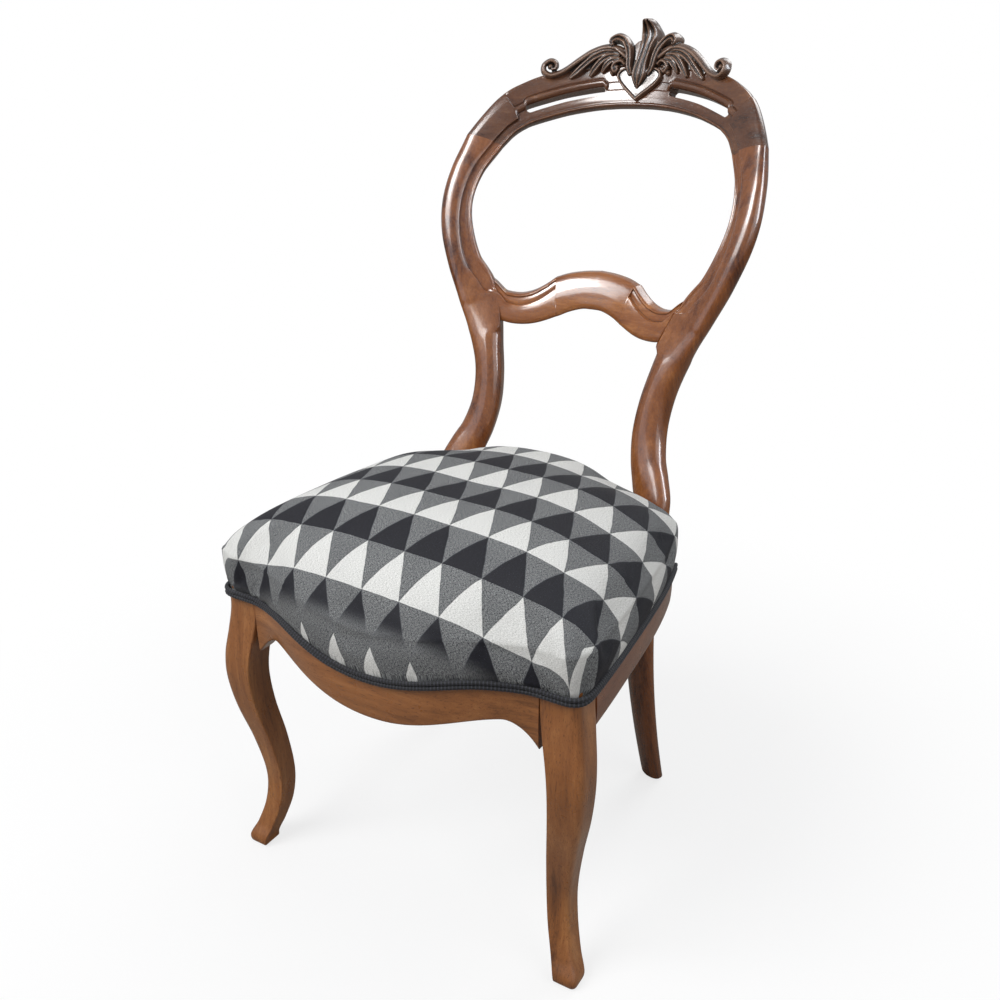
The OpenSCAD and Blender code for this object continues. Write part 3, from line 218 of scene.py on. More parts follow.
# %% Camera
AZIMUTH, ELEVATION, ROLL, DISTANCE = np.radians(31.2), np.radians(23.1), np.radians(-0.4), 1178.7
FOCAL_PIXELS, PICTURE_PIXELS = 1050, 1000
FITTED_MIDDLE = 211                                       # the middle that the camera was fitted with
back_way = np.array([np.sin(AZIMUTH) * np.cos(ELEVATION), -np.cos(AZIMUTH) * np.cos(ELEVATION),
                     np.sin(ELEVATION)])
target = np.array([12.9, -7.7 - (MIDDLE - FITTED_MIDDLE), 430.6])
right_way = np.array([np.cos(AZIMUTH), np.sin(AZIMUTH), 0])
up_way = np.cross(back_way, right_way)
camera_data = bpy.data.cameras.new("camera")
camera_data.sensor_width = 36.0
camera_data.lens = camera_data.sensor_width * FOCAL_PIXELS / PICTURE_PIXELS
camera_data.clip_start, camera_data.clip_end = 0.05, 60
camera = bpy.data.objects.new("camera", camera_data)
bpy.context.scene.collection.objects.link(camera)
across = right_way * np.cos(ROLL) + up_way * np.sin(ROLL)
upward = up_way * np.cos(ROLL) - right_way * np.sin(ROLL)
place = (target + back_way * DISTANCE) * MM
camera.matrix_world = Matrix([[across[i], upward[i], back_way[i], place[i]] for i in range(3)] +
                             [[0, 0, 0, 1]])
bpy.context.scene.camera = camera
print("camera at", place.round(3))

# %% [markdown]
# ## Writing a material as a sum
# A shader is a sum of small steps, and reads best when it is written as one. `Wire` wraps an output socket,
# and its operators add Math nodes, so `1 - mask` or `grain * 0.2` work as they do with numbers. Every other
# node comes from `node`: first its settings, then the numbers or wires of its sockets. Colours are mixed with
# Mix nodes, since a Math node would turn them grey.

# %% Wires and nodes
class Wire:
    """One output of a node in a material's network."""

    def __init__(self, tree, socket):
        self.tree, self.socket = tree, socket

    def math(self, operation, *others, swap=False):
        values = [self, *others]
        return node(self.tree, "ShaderNodeMath", {"operation": operation}, values[::-1] if swap else values)

    def __add__(self, other): return self.math("ADD", other)
    __radd__ = __add__
    def __mul__(self, other): return self.math("MULTIPLY", other)
    __rmul__ = __mul__
    def __sub__(self, other): return self.math("SUBTRACT", other)
    def __rsub__(self, other): return self.math("SUBTRACT", other, swap=True)
    def __truediv__(self, other): return self.math("DIVIDE", other)
    def __abs__(self): return self.math("ABSOLUTE")
    def floor(self): return self.math("FLOOR")
    def fraction(self): return self.math("FRACT")
    def least(self, other): return self.math("MINIMUM", other)
    def sine(self): return self.math("SINE")
    def cosine(self): return self.math("COSINE")

    def step(self, low, high, a=0.0, b=1.0):
        """Maps low..high to a..b, smoothly and no further."""
        return node(self.tree, "ShaderNodeMapRange", {"interpolation_type": "SMOOTHSTEP"},
                    [self, low, high, a, b])

    def colours(self, first, second):
        """The first colour where this wire is 0 and the second where it is 1."""
        mix = {"data_type": "RGBA", "clamp_factor": True}
        return node(self.tree, "ShaderNodeMix", mix, {0: self, 6: first, 7: second}, output=2)


def node(tree, kind, settings=(), sockets=(), output=0):
    """Adds one node: settings by name, then its sockets by place or name, each a number, a colour or a
    wire."""
    made = tree.nodes.new(kind)
    for name, value in dict(settings).items():
        setattr(made, name, value)
    pairs = sockets.items() if isinstance(sockets, dict) else enumerate(sockets)
    for place, value in pairs:
        if isinstance(value, Wire):
            tree.links.new(value.socket, made.inputs[place])
        else:
            if (isinstance(value, (tuple, list)) and len(value) == 3
                    and len(made.inputs[place].default_value) == 4):
                value = (*value, 1.0)
            made.inputs[place].default_value = value
    return Wire(tree, made.outputs[output]) if made.outputs else None


def new_finish(name):
    material = bpy.data.materials.new(name)
    material.use_nodes = True
    material.node_tree.nodes.clear()
    return material, material.node_tree


def place_of(tree, turn=(0, 0, 0), scale=(1, 1, 1), shift=(0, 0, 0)):
    """Object coordinates in metres, turned and stretched so that a pattern follows the piece."""
    where = node(tree, "ShaderNodeTexCoord", output=3)
    return node(tree, "ShaderNodeMapping", {}, {0: where, 1: shift, 2: turn, 3: scale})


def stretched(tree, where, scale):
    return node(tree, "ShaderNodeMapping", {}, {0: where, 3: scale})


def noise(tree, where, scale, detail=3.0, rough=0.5, distortion=0.0):
    return node(tree, "ShaderNodeTexNoise", {}, {"Vector": where, "Scale": scale, "Detail": detail,
                                                 "Roughness": rough, "Distortion": distortion})


def bend_of(tree):
    return node(tree, "ShaderNodeAttribute", {"attribute_name": "bend"}, output=2)


def surface(tree, **sockets):
    """The Principled shader, with its own constants and wires, on the material's output."""
    names = {k.replace("_", " "): v for k, v in sockets.items()}
    shader = node(tree, "ShaderNodeBsdfPrincipled", {}, names)
    node(tree, "ShaderNodeOutputMaterial", {}, [shader])


def srgb(r, g, b):
    """A colour as an eye reads it, 0 to 255, turned into the light it stands for."""
    c = np.array([r, g, b]) / 255
    return tuple(np.where(c <= 0.04045, c / 12.92, ((c + 0.055) / 1.055) ** 2.4).tolist())


print("shader tools ready")

# %% [markdown]
# ## Polished wood
# The chair was glued up from several boards, so each board has its own tone and its own direction of grain,
# and you can see the colour change at the joints. Real grain has three scales: broad dark and light figure
# from the growth rings, fine streaks, and short dark pores. All three are noises that are stretched along the
# board. Shellac lies over them as a clear coat. It is worn thin on edges, where the wood shows paler. The
# hollows are made darker, partly as grime and partly as painted shade.

# %% Finish: polished wood
def polished_wood(name, dark, middle, light, turn=(0, 0, 0), seed=0.0, gloss=0.30, edge=0.35, dirt_and_shade=0.75):
    """Colour = dark..middle..light by figure and streaks, less the pores, paler on worn edges, and darker in
    hollows with grime and painted shade."""
    material, tree = new_finish(name)
    where = place_of(tree, turn=turn, shift=(seed, seed * 0.7, seed * 1.3))
    broad = noise(tree, stretched(tree, where, (14, 14, 1.6)), 1.0, 4.0, 0.55, 0.6)
    rings = noise(tree, stretched(tree, where, (95, 60, 3.5)), 1.0, 3.0, 0.6, 0.35)
    streak = noise(tree, stretched(tree, where, (420, 420, 9)), 1.0, 3.0, 0.62)
    pore = noise(tree, stretched(tree, where, (1500, 1500, 95)), 1.0, 1.0, 0.5)
    pores = pore.step(0.60, 0.70)
    blotch = noise(tree, where, 9.0, 3.0, 0.6)
    tone = (broad - 0.5) * 1.3 + (rings - 0.5) * 1.0 + (streak - 0.5) * 0.55 + (blotch - 0.5) * 0.6
    low = (tone + 0.5).step(0.0, 0.52).colours(dark, middle)
    colour = (tone + 0.5).step(0.45, 1.05).colours(low, light)
    colour = (pores * 0.55).colours(colour, tuple(c * 0.28 for c in dark))
    bend = bend_of(tree)
    scuff = noise(tree, where, 70.0, 4.0, 0.7)
    worn = (bend * -1.0 - 0.12 + (scuff - 0.5) * 0.35).step(0.0, 0.5)
    # hollows go near black: grime_and_shade is partly grime and partly painted shade where the hollows lie in
    # shadow
    grime_and_shade = (bend - 0.05 + (scuff - 0.5) * 0.25).step(0.0, 0.55)
    pale = tuple(min(1.0, c * 1.5 + 0.03) for c in light)
    colour = (worn * edge).colours(colour, pale)
    colour = (grime_and_shade * dirt_and_shade).colours(colour, tuple(c * 0.18 for c in dark))
    nick = noise(tree, stretched(tree, where, (260, 260, 150)), 1.0, 2.0, 0.7)
    nicks = nick.step(0.765, 0.80)
    colour = (nicks * 0.5).colours(colour, tuple(min(1.0, c * 1.9 + 0.05) for c in light))
    smear = noise(tree, where, 24.0, 4.0, 0.6)
    rough = gloss + (smear - 0.5) * 0.22 + pores * 0.12 + worn * 0.1 + grime_and_shade * 0.18
    scratch = noise(tree, stretched(tree, place_of(tree, turn=(0.5, 0.3, 0.9)), (900, 900, 22)), 1.0, 2.0,
                    0.6)
    height = pores * -0.5 + (streak - 0.5) * 0.35 - scratch.step(0.70, 0.78) * 0.5 + (smear - 0.5) * 0.6
    bump = node(tree, "ShaderNodeBump", {}, {"Strength": 0.28, "Distance": 0.0006, "Height": height})
    surface(tree, Base_Color=colour, Roughness=rough.least(0.85), Normal=bump,
            Coat_Weight=(0.85 - worn * 0.35 - grime_and_shade * 0.5),
            Coat_Roughness=0.13, Coat_IOR=1.5, Specular_IOR_Level=0.45)
    return material


ALONG_X = (0, np.pi / 2, 0)
LEANING = (-LEAN, 0, 0)
leg_wood = polished_wood("leg_wood", srgb(92, 52, 26), srgb(148, 92, 48), srgb(186, 126, 74), seed=3.1)
post_wood = polished_wood("post_wood", srgb(76, 36, 18), srgb(134, 78, 40), srgb(176, 114, 64), LEANING,
                          seed=11.4, gloss=0.22)
cross_wood = polished_wood("cross_wood", srgb(82, 42, 22), srgb(140, 82, 42), srgb(180, 118, 66), ALONG_X,
                           seed=8.2, gloss=0.2)
crest_wood = polished_wood("crest_wood", srgb(56, 30, 18), srgb(98, 60, 38), srgb(138, 92, 58), ALONG_X,
                           seed=15.7, gloss=0.24)
carved_wood = polished_wood("carved_wood", srgb(44, 28, 20), srgb(86, 60, 44), srgb(130, 98, 76), ALONG_X,
                            seed=21.3,
                            gloss=0.34, edge=0.45, dirt_and_shade=0.95)
front_wood = polished_wood("front_wood", srgb(92, 54, 28), srgb(152, 96, 52), srgb(190, 130, 78), ALONG_X,
                           seed=27.8)
side_wood = polished_wood("side_wood", srgb(80, 44, 26), srgb(126, 74, 46), srgb(160, 100, 64),
                          (np.pi / 2, 0, 0), seed=33.5)
rear_wood = polished_wood("rear_wood", srgb(80, 42, 26), srgb(122, 70, 44), srgb(156, 96, 62), ALONG_X,
                          seed=40.1)
print("woods:", len(bpy.data.materials))

# %% [markdown]
# ### Raw wood
# Blocks and dowels are never polished: pale beech, dull, with the marks of the saw across the grain.

# %% Finish: raw wood
def raw_wood(name, dark, light, turn=(0, 0, 0), seed=0.0):
    material, tree = new_finish(name)
    where = place_of(tree, turn, (1, 1, 1), (seed, seed * 0.7, seed * 0.3))
    rings = noise(tree, stretched(tree, where, (55, 55, 3.0)), 1.0, 4.0, 0.55, 0.6)
    fibre = noise(tree, stretched(tree, where, (900, 900, 16)), 1.0, 2.0, 0.6)
    saw = noise(tree, stretched(tree, where, (20, 20, 420)), 1.0, 2.0, 0.5)
    colour = (rings * 0.7 + fibre * 0.3).step(0.35, 0.65).colours(dark, light)
    colour = (saw.step(0.6, 0.75) * 0.35).colours(colour, dark)
    bump = node(tree, "ShaderNodeBump", {}, {"Strength": 0.4, "Distance": 0.0004,
                                             "Height": fibre * 0.6 + saw * 0.5})
    surface(tree, Base_Color=colour, Roughness=(fibre * 0.15 + 0.72), Normal=bump, Specular_IOR_Level=0.3)
    return material


raw_beech = raw_wood("raw_beech", srgb(160, 128, 90), srgb(200, 170, 128), (0, np.pi / 2, 0), 9.1)
print("raw wood ready")

# %% [markdown]
# ## The back's curved face
# A balloon back isn't flat. It leans, wraps forward at its sides so that it holds the sitter, and the rear
# legs sweep back again below the seat. Every member of the back is drawn on that one face, as a template is
# bent onto it, and its depth runs square to the face in plan.

# %% The face and the members on it
BOW = [[0, 0], [0.4, 0], [0.505, 0.22], [0.593, 0.74], [0.682, 1], [0.77, 0.6], [0.859, 0.45], [0.934, 0.22],
       [1, 0],
       [1.2, 0]]


def face_depth(x, z):
    """Lean + sweep of the leg below the knee - bow of the waist - wrap towards the sides."""
    z = np.asarray(z, float)
    sweep = SWEEP * np.clip((KNEE - z) / KNEE, 0, None) ** 1.4
    return (BACK_SET + (z - RAIL_TOP) * RAKE + sweep - WAIST_BOW * curve(BOW, z / JOINT) -
            DISH * (x / HALF_BACK) ** 2)


def behind(x, z, depth):
    """The point at a depth behind the face, along the face's normal in plan. High up the boards are cut
    square to the leaning face, so the point also drops, by depth * sin(lean) * cos(lean), and stays on the
    same back surface."""
    slope = 2 * DISH * x / HALF_BACK ** 2
    c = 1 / np.hypot(1, slope)
    drop = RAKE / (1 + RAKE ** 2) * ease(650, 730, z) * np.maximum(depth, 0)
    return np.stack(np.broadcast_arrays(x + depth * slope * c, face_depth(x, z) + depth * c - drop * RAKE,
                                        z - drop), -1)


def moulded(w, t, band):
    """Section with a sunk band along the opening: a small bead, the band, a quirk, a sharp step and a convex
    body."""
    o = np.zeros_like(w)
    bw, bd = band + o, (BAND_D + 0.8) * np.clip(band / BAND_W * 2, 0, 1) + o
    s = [o, o, bw * .05, bw * .16, bw * .27, bw * .33, bw * .6, bw * .9, bw * .97, bw, bw + .6,
         blend(bw, w, .25),
         blend(bw, w, .55), blend(bw, w, .84), w, w, w * .92, w * .72, w * .3, w * .06]
    d = [t * .8, bd + t * .12, bd * .9, bd * .62, bd * .82, bd * 1.08, bd * .9, bd * 1.02, bd * 1.15, t * .05,
         t * .02,
         -t * .015, t * .02, t * .13, t * .32, t * .58, t * .82, t * .97, t, t * .96]
    return np.stack([np.stack(s, -1), np.stack(d, -1)], -1)


def rounded(w, t):
    """Section that is round in front, for the plain stretches of a member."""
    o = np.zeros_like(w)
    s = [o, o, w * .015, w * .04, w * .08, w * .12, w * .17, w * .22, w * .26, w * .30, w * .34, w * .42,
         w * .55,
         w * .84, w, w, w * .93, w * .72, w * .28, w * .06]
    d = [t * .78, t * .36, t * .24, t * .17, t * .12, t * .085, t * .055, t * .035, t * .02, t * .01, t * .0,
         -t * .01,
         t * .0, t * .14, t * .36, t * .62, t * .84, t * .98, t, t * .95]
    return np.stack([np.stack(s, -1), np.stack(d, -1)], -1)


SECTION_BENDS = np.array([.35, .45, .5, .5, .5, .5, .5, .5, .4, .25, .4, .5, .5, .5, .5, .5, .5, .5, .5, .4])


def member(edge_in, edge_out, t, mould, bends=SECTION_BENDS, steps=5, band=BAND_W, slant=0):
    """Rings of a member: each section runs from its edge at the opening to its outer edge, on the curved
    face. `band` is the width of the sunk band, and `slant` draws the wall of the opening outwards towards the
    back."""
    along = edge_out - edge_in
    w = np.linalg.norm(along, axis=-1)
    n = along / w[:, None]
    t = np.broadcast_to(np.asarray(t, float), w.shape)
    mould = np.asarray(mould, float)
    mould = mould[:, None, None] if mould.ndim == 1 else mould
    section = soften(rounded(w, t) * (1 - mould) + moulded(w, t, band) * mould, bends, steps)
    inner = np.clip(1 - section[..., 0] / (w[:, None] * 0.5), 0, 1)
    section[..., 0] += np.reshape(slant, (-1, 1)) * inner * np.clip(section[..., 1] / t[:, None] - 0.3, 0,
                                                                    1) / 0.7
    x = edge_in[:, None, 0] + n[:, None, 0] * section[..., 0]
    z = edge_in[:, None, 1] + n[:, None, 1] * section[..., 0]
    return behind(x, z, section[..., 1])


print("top of the face leans back", round(float(face_depth(0, TOP) - face_depth(0, RAIL_TOP))), "mm")

# %% [markdown]
# ## Rear posts
# Each post is one board from the floor to the crest: a rear leg, a waist above the seat, and one side of the
# balloon. Its template gives the line of its middle and its width at each height. The moulded band begins
# where the cross rail meets it, and round that corner it narrows to nothing in a quarter of a circle.

# %% Rear posts
POST = np.array([
    [0, 0.704, 0.7], [0.076, 0.701, 0.73], [0.19, 0.689, 0.81], [0.316, 0.667, 0.92], [0.417, 0.646, 1.02],
    [0.505, 0.63, 1.12], [0.534, 0.592, 1.1], [0.562, 0.55, 0.995], [0.6, 0.523, 0.905],
                 [0.641, 0.528, 0.835],
    [0.678, 0.555, 0.835], [0.726, 0.613, 1], [0.77, 0.692, 1.085], [0.814, 0.795, 0.83], [0.865, 0.864, 0.8],
    [0.915, 0.892, 0.843], [0.96, 0.875, 0.95], [1, 0.823, 1.16]])
POST_DEPTH = [[0, 0.8], [0.2, 0.95], [0.42, 1.18], [0.53, 1.21], [0.6, 1.44], [0.68, 1.55], [0.76, 1.22],
              [0.87, 1.08],
              [1, 0.93]]


FULLER = 3.5


def at_elbow(z):
    """1 in the elbow, where the opening turns from the posts into the cross rail, and 0 away from it."""
    return ease(596, 634, z) * (1 - ease(650, 725, z))


def post_edges(z):
    """The two edges of a post in the plane of the back, square to the line of its middle."""
    z = np.asarray(z, float)
    x, w = HALF_BACK * curve(POST, z / JOINT), POST_W * curve(POST, z / JOINT, 2)
    zz = np.minimum(z, JOINT * .99)
    lean = HALF_BACK * (curve(POST, (zz + 4) / JOINT) - curve(POST, (zz - 4) / JOINT)) / 8
    n = np.stack([np.ones_like(lean), -lean], -1) / np.hypot(1, lean)[:, None]
    middle = np.stack([x, z], -1)
    return middle - n * (w / 2 + FULLER * at_elbow(z))[:, None], middle + n * w[:, None] / 2


def worn_toe(rings, heights, toe=4.0):
    """Draws the last few millimetres of a foot in towards its middle, as wear does."""
    k = 1 - 0.2 * np.clip(1 - heights / toe, 0, 1) ** 2
    middle = rings.mean(1, keepdims=True)
    out = middle + (rings - middle) * k[:, None, None]
    out[..., 2] = heights[:, None]
    return out


heights = np.concatenate([np.linspace(0, 4, 5), np.linspace(8, JOINT, 262)])
post_in, post_out = post_edges(heights)
past_joint = (CROSS - CROSS_H * 0.595 - heights) * 1.2 / BAND_W
post_band = (BAND_W + FULLER * at_elbow(heights)) * np.sqrt(np.clip(1 - np.clip(past_joint, 0, 1) ** 2, 0, 1))
post_rings = member(post_in, post_out, POST_T * curve(POST_DEPTH, heights / JOINT), ease(560, 569, heights),
                    band=post_band,
                    slant=3 * at_elbow(heights))
low = heights <= 4
post_rings[low] = worn_toe(post_rings[low], heights[low])
for side in ("left", "right"):
    post = tube_skin("post_" + side, post_rings, post_wood, mirror=side == "left")
    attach(post, "root")
    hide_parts("rear_post_" + side)
print("post points:", len(post.data.vertices))

# %% [markdown]
# ## Front legs
# A cabriole leg bulges at the knee, draws in to a slim ankle and turns out again at the toe. It is sawn from
# a square block along one curve seen from the front and the same curve seen from the side, which is why its
# outer corner swings out at forty-five degrees.

# %% Front legs
LEG = np.array([
    [0, 0.35, 0], [0.028, 0.42, 0.1], [0.077, -0.15, 0], [0.166, -0.78, 0], [0.27, -0.97, 0.04],
                [0.414, -0.45, 0.3],
    [0.55, 0.32, 0.6], [0.663, 0.68, 0.78], [0.746, 0.62, 0.88], [0.829, 0.28, 0.97], [0.91, 0, 1],
                [1, 0, 1]])


def leg_rings(z):
    """A square section with one round outer corner and small arrises, moved out and in by the leg's curve."""
    u = z / RAIL_TOP
    off, s = SWING * curve(LEG, u), curve(LEG, u, 2)
    cut = np.where(z > COVER_LINE, REBATE, 0)
    wx, wy = blend(ANKLE, LEG_W, s), blend(ANKLE, LEG_D, s)
    x, y = HALF_SEAT + off - cut, -off + cut
    left, back, e = HALF_SEAT + off - wx, -off + wy, np.full_like(x, ANKLE * .09)
    corners = np.stack([np.stack(p, -1) for p in (
        (left, y), (blend(left, x, .5), y), (x, y), (x, blend(y, back, .5)), (x, back - e), (x - e, back),
        (blend(left, x, .5), back), (left, back))], -2)
    r = blend(ANKLE * .42, LEG_W * .25, np.clip(s, 0, None))
    rings = []
    for k in range(len(z)):
        share = min(0.5, r[k] / (wx[k] / 2))
        rings.append(soften(corners[k], np.array([.09, .4, share, .4, .5, .5, .4, .09]), 7))
    rings = np.stack(rings)
    return np.concatenate([rings, np.broadcast_to(z[:, None, None], (*rings.shape[:2], 1))], -1)


heights = np.concatenate([np.linspace(0, 4, 5), np.linspace(7, COVER_LINE - 1.2, 110),
                          [COVER_LINE, COVER_LINE + .2, RAIL_TOP]])
rings = leg_rings(heights)
rings[:5] = worn_toe(rings[:5], heights[:5])
for side in ("left", "right"):
    leg = tube_skin("leg_" + side, rings, leg_wood, mirror=side == "left")
    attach(leg, "root")
    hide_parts("front_leg_" + side)
print("leg points:", len(leg.data.vertices))

# %% [markdown]
# ## Seat rails
# The front rail is a serpentine: it bows forward, its lower edge drops in the middle, and the line where the
# cover ends dips with it. Small arches at its ends lead into the legs. The side rails curve in towards the
# posts. All are rebated at the top, where the cover is tacked.

# %% Rails
def front_line(x):
    """The rail's face bows forward: 1 - |x|^3, squared."""
    return -FRONT_BOW * (1 - np.minimum(1, np.abs(x / RAIL_END) ** 3)) ** 2


def cover_line(x):
    return COVER_LINE - COVER_DIP * (1 - np.minimum(1, (x / RAIL_END / .74) ** 2)) ** 2


def lower_line(x):
    u = np.abs(x) / RAIL_END
    arch = ARCH_H * (np.clip(u - ARCH_FROM, 0, None) / (1 - ARCH_FROM)) ** 1.8
    return APRON_Z - APRON_DROP * (1 - np.minimum(1, (u / .85) ** 2)) ** 2 - arch


x = np.linspace(-RAIL_END, RAIL_END, 161)
y, zc, zb = front_line(x), cover_line(x), lower_line(x)
h, o = zc - zb, np.zeros_like(x)
corners = [(y + RAIL_T, o + RAIL_TOP), (y + REBATE, o + RAIL_TOP), (y + REBATE, zc + .2), (y, zc),
           (y - 1.0, zc - h * .3),
           (y - 1.3, zc - h * .6), (y - .4, zb + 4), (y + .4, zb + .6), (y + 4, zb - .1),
           (y + RAIL_T - 3, zb),
           (y + RAIL_T, zb + 3)]
section = np.stack([np.stack(p, -1) for p in corners], -2)
section = soften(section, np.array([.1, .1, .3, .25, .5, .5, .5, .5, .5, .3, .3]), 5)
rings = np.concatenate([np.broadcast_to(x[:, None, None], (*section.shape[:2], 1)), section], -1)
front_rail = tube_skin("front_rail_face", rings, front_wood)
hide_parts("front_rail")

SIDE = [[0, 1], [0.1, 0.997], [0.34, 0.965], [0.66, 0.907], [0.87, 0.842], [0.95, 0.79], [1, 0.74]]
SIDE_END = SEAT_DEEP * 1.02


def side_line(y):
    return HALF_SEAT * curve(SIDE, y / SIDE_END)


def post_side(y, z, side):
    """Where the side of a post lies at a depth y: its middle, half its width, and the wrap of the back."""
    x = HALF_BACK * curve(POST, z / JOINT) + side * POST_W * curve(POST, z / JOINT, 2) / 2
    return x + (y - face_depth(x, z)) * 2 * DISH * x / HALF_BACK ** 2 + side * .15


y = np.linspace(LEG_D, SEAT_DEEP * .965, 60)
x = side_line(y)
zc, zb, o = COVER_LINE, RAIL_LOW, np.zeros_like(y)
inner = [np.maximum(x - RAIL_T, np.where(y > SEAT_DEEP * .8, post_side(y, o + z, 1), 0)) for z in (RAIL_TOP,
                                                                                                   zb)]
corners = [(inner[0], o + RAIL_TOP), (x - REBATE, o + RAIL_TOP), (x - REBATE, o + zc + .2), (x, o + zc),
           (x + 1, o + zc - 13),
           (x + 1.3, o + zc - 26), (x + .4, o + zb + 4), (x - .4, o + zb + .6), (x - 4, o + zb),
           (inner[1], o + zb)]
section = np.stack([np.stack(p, -1) for p in corners], -2)
section = soften(section, np.array([.1, .1, .3, .25, .5, .5, .5, .5, .3, .1]), 5)
rings = np.stack([section[..., 0], np.broadcast_to(y[:, None], section.shape[:2]), section[..., 1]], -1)
for side in ("left", "right"):
    rail = tube_skin("side_rail_face_" + side, rings, side_wood, mirror=side == "left")
    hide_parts("side_rail_" + side)
    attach(rail, "root")
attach(front_rail, "root")
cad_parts["rear_rail"].data.materials.clear()
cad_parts["rear_rail"].data.materials.append(rear_wood)
print("rails done; the front rail drops to", round(float(lower_line(np.array([0.]))[0])), "mm")

# %% [markdown]
# ## Cross rail
# The cross rail is a shallow bow with a raised middle. Its moulded band runs down into the bands of the posts
# and ends short of the middle at two carved stops, so the middle is plain and round. We draw it with the same
# sections as the posts, and let the band appear along a curved line, as the chisel left it.

# %% Cross rail
CROSS_ROWS = np.array([
    [0, 0, 0, 0], [0.15, 0.05, 0.12, 0.03], [0.3, 0.16, 0.26, 0.26], [0.41, 0.31, 0.37, 0.54],
                       [0.44, 0.37, 0.41, 0.62],
    [0.5, 0.58, 0.5, 0.83], [0.58, 0.8, 0.6, 1.02], [0.66, 0.94, 0.7, 1.13], [0.75, 1, 0.8, 1.16],
                       [0.87, 0.93, 0.9, 1.12],
    [1, 0.7, 1, 1]])
cross_table = np.column_stack([np.arange(len(CROSS_ROWS)), CROSS_ROWS])
end_low = post_edges(np.array([CROSS - CROSS_H * 1.586]))[0][0]
end_high = post_edges(np.array([CROSS - CROSS_H * 0.595]))[0][0]
p = np.concatenate([np.linspace(0, 3, 40), np.linspace(3, 4.2, 50)[1:], np.linspace(4.2, 10, 90)[1:]])
top_x, top_drop, low_x, low_share = (curve(cross_table, p, k) for k in (1, 2, 3, 4))
into_post = np.clip(p - 9, 0, 1) * (0.35 + 0.65 * np.clip(p - 9, 0, 1))
upper = np.stack([(end_high[0] - .15) * top_x, blend(CROSS - 31 * top_drop, end_high[1], into_post)], -1)
lower = np.stack([(end_low[0] - .15) * low_x, blend(CROSS - CROSS_H, end_low[1], low_share)], -1)
share = np.linspace(0, 1, len(SECTION_BENDS))
stop = ease(3.12, 3.42, p[:, None] - 0.5 * (share[None] - 0.15) ** 2)
half = member(upper, lower, CROSS_T + 0 * p, stop[..., None])
rings = np.concatenate([half[:0:-1] * [-1, 1, 1], half])
cross_rail = tube_skin("cross_rail_face", rings, cross_wood)
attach(cross_rail, "root")
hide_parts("cross_rail")
print("cross rail points:", len(cross_rail.data.vertices))

# %% [markdown]
# ### Dowels of the cross rail
# Two beech dowels pin each end of the rail to its post. They are turned with a chamfer at each end and have
# shallow flutes, which let the glue out when they are driven in.

# %% Dowels of the cross rail
def fluted_dowel(start, end, radius=3.4, flutes=10):
    """Rings along a dowel. The radius dips where cos(flutes * angle) is low, and is less within 1.5 mm of the
    ends."""
    run = np.linalg.norm(end - start)
    at = np.concatenate([[0, 0.5, 1.5], np.linspace(3, run - 3, 12), [run - 1.5, run - 0.5, run]])
    t = (end - start) / run
    side = np.cross(t, [0, 0, 1.0])
    side /= np.linalg.norm(side)
    up = np.cross(side, t)
    a = np.linspace(0, 2 * np.pi, 61)[:-1]
    r = ((radius - 0.14 + 0.14 * np.cos(flutes * a))[None] *
         (1 - 0.16 * np.clip(1 - np.minimum(at, run - at) / 1.5, 0, 1))[:, None])
    circle = side[None, None] * np.cos(a)[None, :, None] + up[None, None] * np.sin(a)[None, :, None]
    return (start + t * at[:, None])[:, None] + circle * r[..., None]


dowel_points, dowel_faces, base = [], [], 0
for side in (1, -1):
    for z in (CROSS - CROSS_H * 1.335, CROSS - CROSS_H * 0.885):
        foot = post_edges(np.array([z]))[0][0]
        a, b = (behind(foot[0] + dx, foot[1], CROSS_T * 0.52) * [side, 1, 1] for dx in (-9.0, 12.0))
        ring = fluted_dowel(a, b)
        m, n_d, _ = ring.shape
        pts = np.concatenate([ring.reshape(-1, 3), ring[:1].mean(1), ring[-1:].mean(1)])
        skins = [joined(m, n_d), fan(np.arange(n_d), m * n_d),
                 fan(np.arange(n_d) + (m - 1) * n_d, m * n_d + 1)[:, ::-1]]
        if volume(pts, skins) < 0:
            skins = [f[:, ::-1] for f in skins]
        dowel_points.append(pts)
        dowel_faces += [f + base for f in skins]
        base += len(pts)
cross_dowels = make_mesh("cross_rail_dowels_fluted", np.concatenate(dowel_points), dowel_faces, raw_beech)
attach(cross_dowels, "root")
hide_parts("cross_rail_dowels")
print("fluted dowels:", len(dowel_points))

# %% [markdown]
# ## Crest rail
# The crest closes the balloon. Its lower strip carries on the posts' band. Above the strip are two long
# pierced slots, and over each slot runs a round bead that ends at the carved middle and at a sloping stop.
# Beyond the stop the crest has the full round body of the posts, so the joint is smooth. The skin is again a
# grid; where a slot runs, the faces between its two edges are left out in front and behind, and walls join
# front and back.

# %% Crest rail
CREST_ROWS = np.array([
    [0, 1, 0, 1], [0.137, 0.992, 0.124, 1], [0.231, 0.973, 0.207, 0.994], [0.268, 0.965, 0.243, 0.99],
    [0.347, 0.935, 0.31, 0.973], [0.415, 0.9, 0.369, 0.95], [0.489, 0.857, 0.439, 0.92],
                       [0.563, 0.806, 0.511, 0.88],
    [0.631, 0.745, 0.579, 0.843], [0.695, 0.682, 0.643, 0.8], [0.751, 0.625, 0.7, 0.75],
                       [0.825, 0.538, 0.772, 0.668],
    [0.852, 0.49, 0.806, 0.622], [0.873, 0.45, 0.832, 0.575], [0.884, 0.428, 0.845, 0.552],
                       [0.911, 0.36, 0.88, 0.464],
    [0.94, 0.27, 0.918, 0.337], [0.97, 0.14, 0.96, 0.175], [1, 0, 1, 0]])
crest_table = np.column_stack([np.arange(len(CREST_ROWS)), CREST_ROWS])
end_in, end_out = (e[0] for e in post_edges(np.array([float(JOINT)])))
